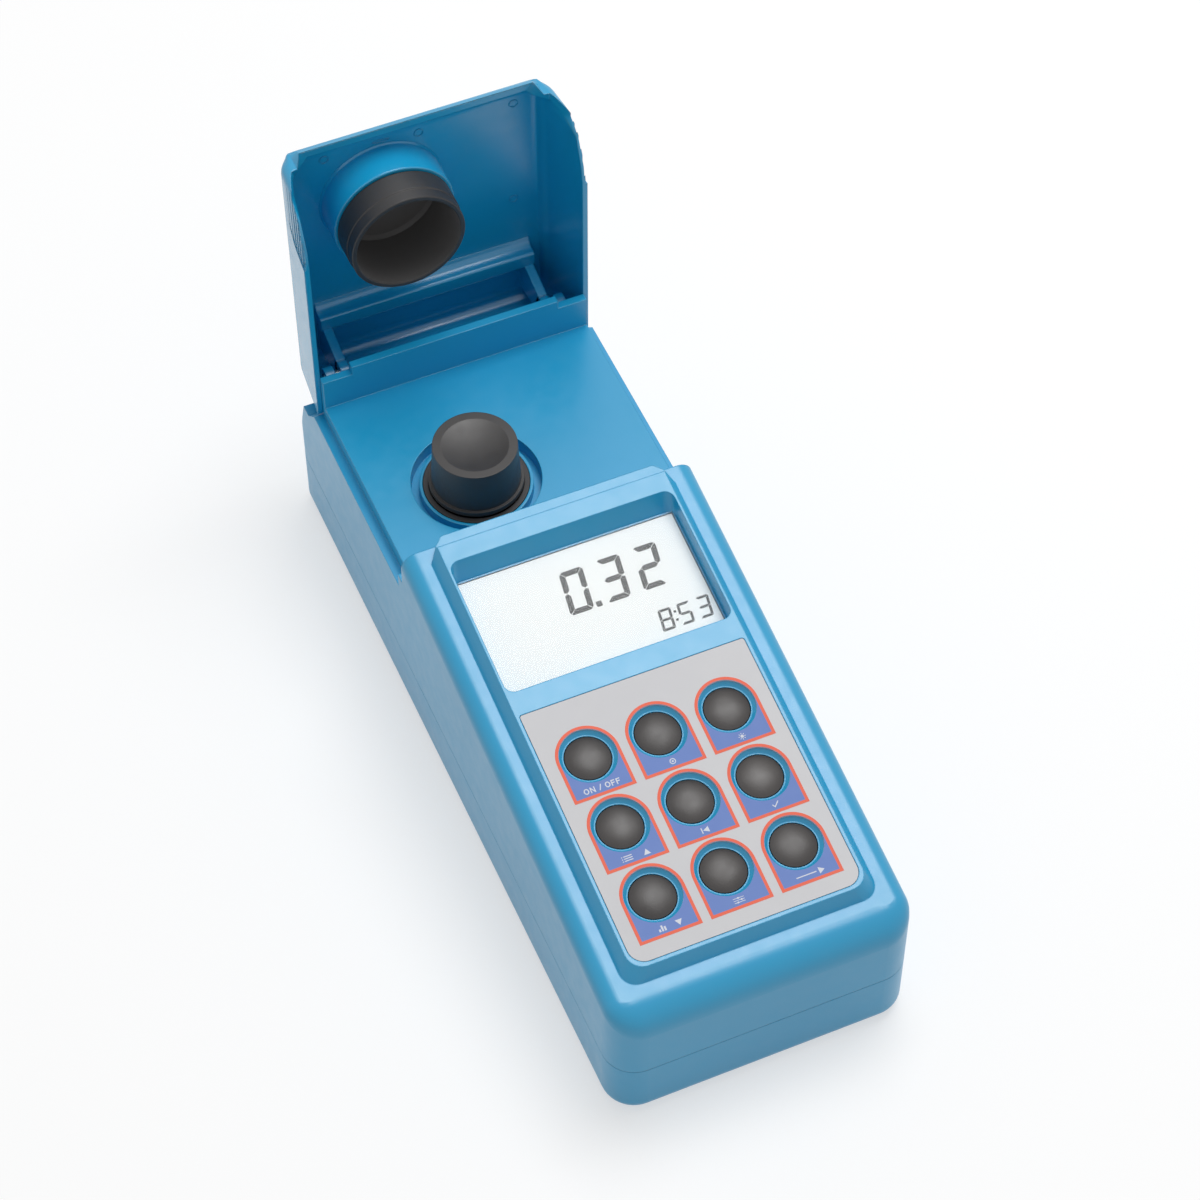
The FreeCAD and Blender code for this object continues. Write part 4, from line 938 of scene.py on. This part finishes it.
def light_shield():
    """Hollow cup with a thinner tip; its inside is painted a lighter grey than its outside, painted light
    that offsets the shade in its bore.
    """
    floor_at = CUP_TIP + CUP_DEPTH
    bore_profile = [(0, floor_at), (CUP_BORE - CUP_CORNER, floor_at), (CUP_BORE, floor_at - CUP_CORNER),
              (CUP_BORE, CUP_TIP + EDGE)]
    outside = [(CUP_BORE + EDGE, CUP_TIP), (CUP_TIP_RADIUS - EDGE, CUP_TIP), (CUP_TIP_RADIUS, CUP_TIP + EDGE),
               (CUP_TIP_RADIUS, CUP_TIP + CUP_TIP_LENGTH),
               (CUP_RADIUS, CUP_TIP + CUP_TIP_LENGTH + EDGE), (CUP_RADIUS, COLLAR_END - CUP_SHOULDER),
               (CUP_RADIUS - EDGE, COLLAR_END - CUP_GAP), (CUP_SEAT, COLLAR_END - CUP_GAP),
               (CUP_SEAT, LID_ROOF - SEAT_GAP), (0, LID_ROOF - SEAT_GAP)]
    cup = lathe("light_shield", bore_profile + outside, BLACK_PLASTIC, False)
    # The inside faces take the lighter grey, painted light against the shade in the bore
    cup.data.materials.append(CUP_INSIDE_PAINTED_LIGHT)
    painted_light_faces = LATHE_STEPS * (len(bore_profile) - 1)
    for polygon in cup.data.polygons:
        polygon.material_index = 1 if polygon.index < painted_light_faces else 0
    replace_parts(dress(sharpen(face_outward(cup)), "lid"), "light_shield_cup")


def across_lid(u, v, w):
    """A side view of the closed lid: u along Y, v up, w across."""
    return on_lid(w, u, v)


def lid_rib():
    """Cross rib above the hinge wall, with a fillet towards the front."""
    front, back, low, half = 93.0, 98.2, 70.5, 32.5
    fillet, corner, steps = 2.8, 0.9, 6
    quarter = [pi / 2 * step / steps for step in range(steps + 1)]
    outline = [(front - fillet + fillet * sin(angle), LID_ROOF - fillet + fillet * cos(angle))
               for angle in quarter]
    outline += [(front + corner - corner * cos(angle), low + corner - corner * sin(angle))
                for angle in quarter]
    outline += [(back - corner + corner * sin(angle), low + corner - corner * cos(angle))
                for angle in quarter]
    outline += [(back, LID_ROOF + SINK), (front - fillet, LID_ROOF + SINK)]
    rib = print_plate("lid_rib", [outline], LID, -half, half, across_lid)
    dress(sharpen(face_outward(rib)), "lid")


def lid_lugs():
    """Arms from the roof to the hinge pins, with an eye at the pin."""
    thick, eye_radius, eye_width = 2.6, 3.6, 2.0
    arm_half, arm_low, knee = 3.4, 1.9, 70.6
    root_front, root_back, knee_front = 6.9, 6.0, 6.2
    arm = [(hinge_y - arm_half, hinge_z + arm_low), (hinge_y + arm_half, hinge_z + arm_low),
           (hinge_y + root_back, LID_ROOF + SINK), (hinge_y - root_front, LID_ROOF + SINK),
           (hinge_y - knee_front, knee)]
    for side, near in (("left", -32.0), ("right", 29.4)):
        loops = [arm] + ring(hinge_y, hinge_z, eye_radius, eye_radius, eye_width)
        lug = print_plate(f"lid_lug_{side}", loops, LID, near, near + thick, across_lid)
        dress(sharpen(face_outward(lug)), "lid")


def ejector_marks():
    """Faint round marks and one slot that the mould leaves on the roof."""
    radius, line = 1.4, 0.3
    slot_half, slot_half_width, slot_line = 2.5, 0.55, 0.25
    sunk, proud = -0.02, 0.18
    loops = []
    for x, y in ((28.9, 36.4), (28.2, 73.0), (1.2, 36.5), (-26.1, 35.9)):
        loops += ring(x, y, radius, radius, line)
    loops += ring(-9.7, 35.2, slot_half, slot_half_width, slot_line)
    marks = print_plate("lid_ejector_marks", loops, LID, sunk, proud,
                        lambda u, v, w: on_lid(u, v, LID_ROOF - w))
    dress(face_outward(marks), "lid")


lid_collar()
light_shield()
lid_rib()
lid_lugs()
ejector_marks()


# Stage: floor, lamp, world and camera
def seen_rays(tree):
    """1 for camera, mirror and glass rays, 0 for the rays that carry soft light."""
    path = tree.nodes.new("ShaderNodeLightPath")
    total = path.outputs["Is Camera Ray"]
    for name in ("Is Glossy Ray", "Is Transmission Ray"):
        larger = tree.nodes.new("ShaderNodeMath")
        larger.operation = "MAXIMUM"
        tree.links.new(total, larger.inputs[0])
        tree.links.new(path.outputs[name], larger.inputs[1])
        total = larger.outputs[0]
    return total


def floor_white():
    """Pale floor that keeps the object's soft shadow and is seen as nearly white."""
    material = bpy.data.materials.new("floor_white")
    material.use_nodes = True
    tree = material.node_tree
    tree.nodes.remove(tree.nodes["Principled BSDF"])
    bounce, shaded = (tree.nodes.new("ShaderNodeBsdfDiffuse") for _ in range(2))
    bounce.inputs["Color"].default_value = (FLOOR_BOUNCE,) * 3 + (1,)
    shaded.inputs["Color"].default_value = (FLOOR_SEEN,) * 3 + (1,)
    glow = tree.nodes.new("ShaderNodeEmission")
    glow.inputs["Strength"].default_value = FLOOR_GLOW
    both = tree.nodes.new("ShaderNodeAddShader")
    choice = tree.nodes.new("ShaderNodeMixShader")
    tree.links.new(shaded.outputs[0], both.inputs[0])
    tree.links.new(glow.outputs[0], both.inputs[1])
    tree.links.new(seen_rays(tree), choice.inputs["Fac"])
    tree.links.new(bounce.outputs[0], choice.inputs[1])
    tree.links.new(both.outputs[0], choice.inputs[2])
    tree.links.new(choice.outputs[0], tree.nodes["Material Output"].inputs["Surface"])
    return material


def floor():
    """Square floor, a hair below the feet."""
    drop = Vector((0, 0, FLOOR_DROP))
    corners = [(x * FLOOR_HALF, y * FLOOR_HALF, 0) for x, y in ((-1, -1), (1, -1), (1, 1), (-1, 1))]
    plane = mesh_object("floor", [Vector(corner) - drop for corner in corners], [(0, 1, 2, 3)],
                        floor_white())


def lamp(name, place, target, size, power):
    light = bpy.data.lights.new(name, "AREA")
    light.shape = "RECTANGLE"
    light.size, light.size_y = size
    light.energy = power
    holder = bpy.data.objects.new(name, light)
    holder.location = place
    holder.rotation_mode = "QUATERNION"
    holder.rotation_quaternion = (Vector(target) - Vector(place)).to_track_quat("-Z", "Y")
    scene.collection.objects.link(holder)


def world():
    """Even light, which the camera and the reflections see as white."""
    studio = bpy.data.worlds.new("studio")
    studio.use_nodes = True
    scene.world = studio
    tree = studio.node_tree
    soft = tree.nodes["Background"]
    soft.inputs["Color"].default_value = (1, 1, 1, 1)
    soft.inputs["Strength"].default_value = WORLD_DIFFUSE
    seen = tree.nodes.new("ShaderNodeBackground")
    seen.inputs["Color"].default_value = (1, 1, 1, 1)
    mix = tree.nodes.new("ShaderNodeMixShader")
    tree.links.new(seen_rays(tree), mix.inputs["Fac"])
    tree.links.new(soft.outputs["Background"], mix.inputs[1])
    tree.links.new(seen.outputs["Background"], mix.inputs[2])
    tree.links.new(mix.outputs["Shader"], tree.nodes["World Output"].inputs["Surface"])


def camera():
    data = bpy.data.cameras.new("camera")
    data.lens = CAMERA_LENS
    data.sensor_width = CAMERA_SENSOR
    data.clip_start, data.clip_end = CAMERA_CLIP
    holder = bpy.data.objects.new("camera", data)
    back = Vector((sin(CAMERA_AZIMUTH) * cos(CAMERA_ELEVATION),
                   -cos(CAMERA_AZIMUTH) * cos(CAMERA_ELEVATION), sin(CAMERA_ELEVATION)))
    holder.location = CAMERA_PLACE
    holder.rotation_mode = "QUATERNION"
    holder.rotation_quaternion = (-back).to_track_quat("-Z", "Y")
    scene.collection.objects.link(holder)
    scene.camera = holder


floor()
world()
lamp("softbox", SOFTBOX_PLACE, SOFTBOX_AIM, SOFTBOX_SIZE, SOFTBOX_POWER)
camera()
scene.view_settings.view_transform = "Standard"
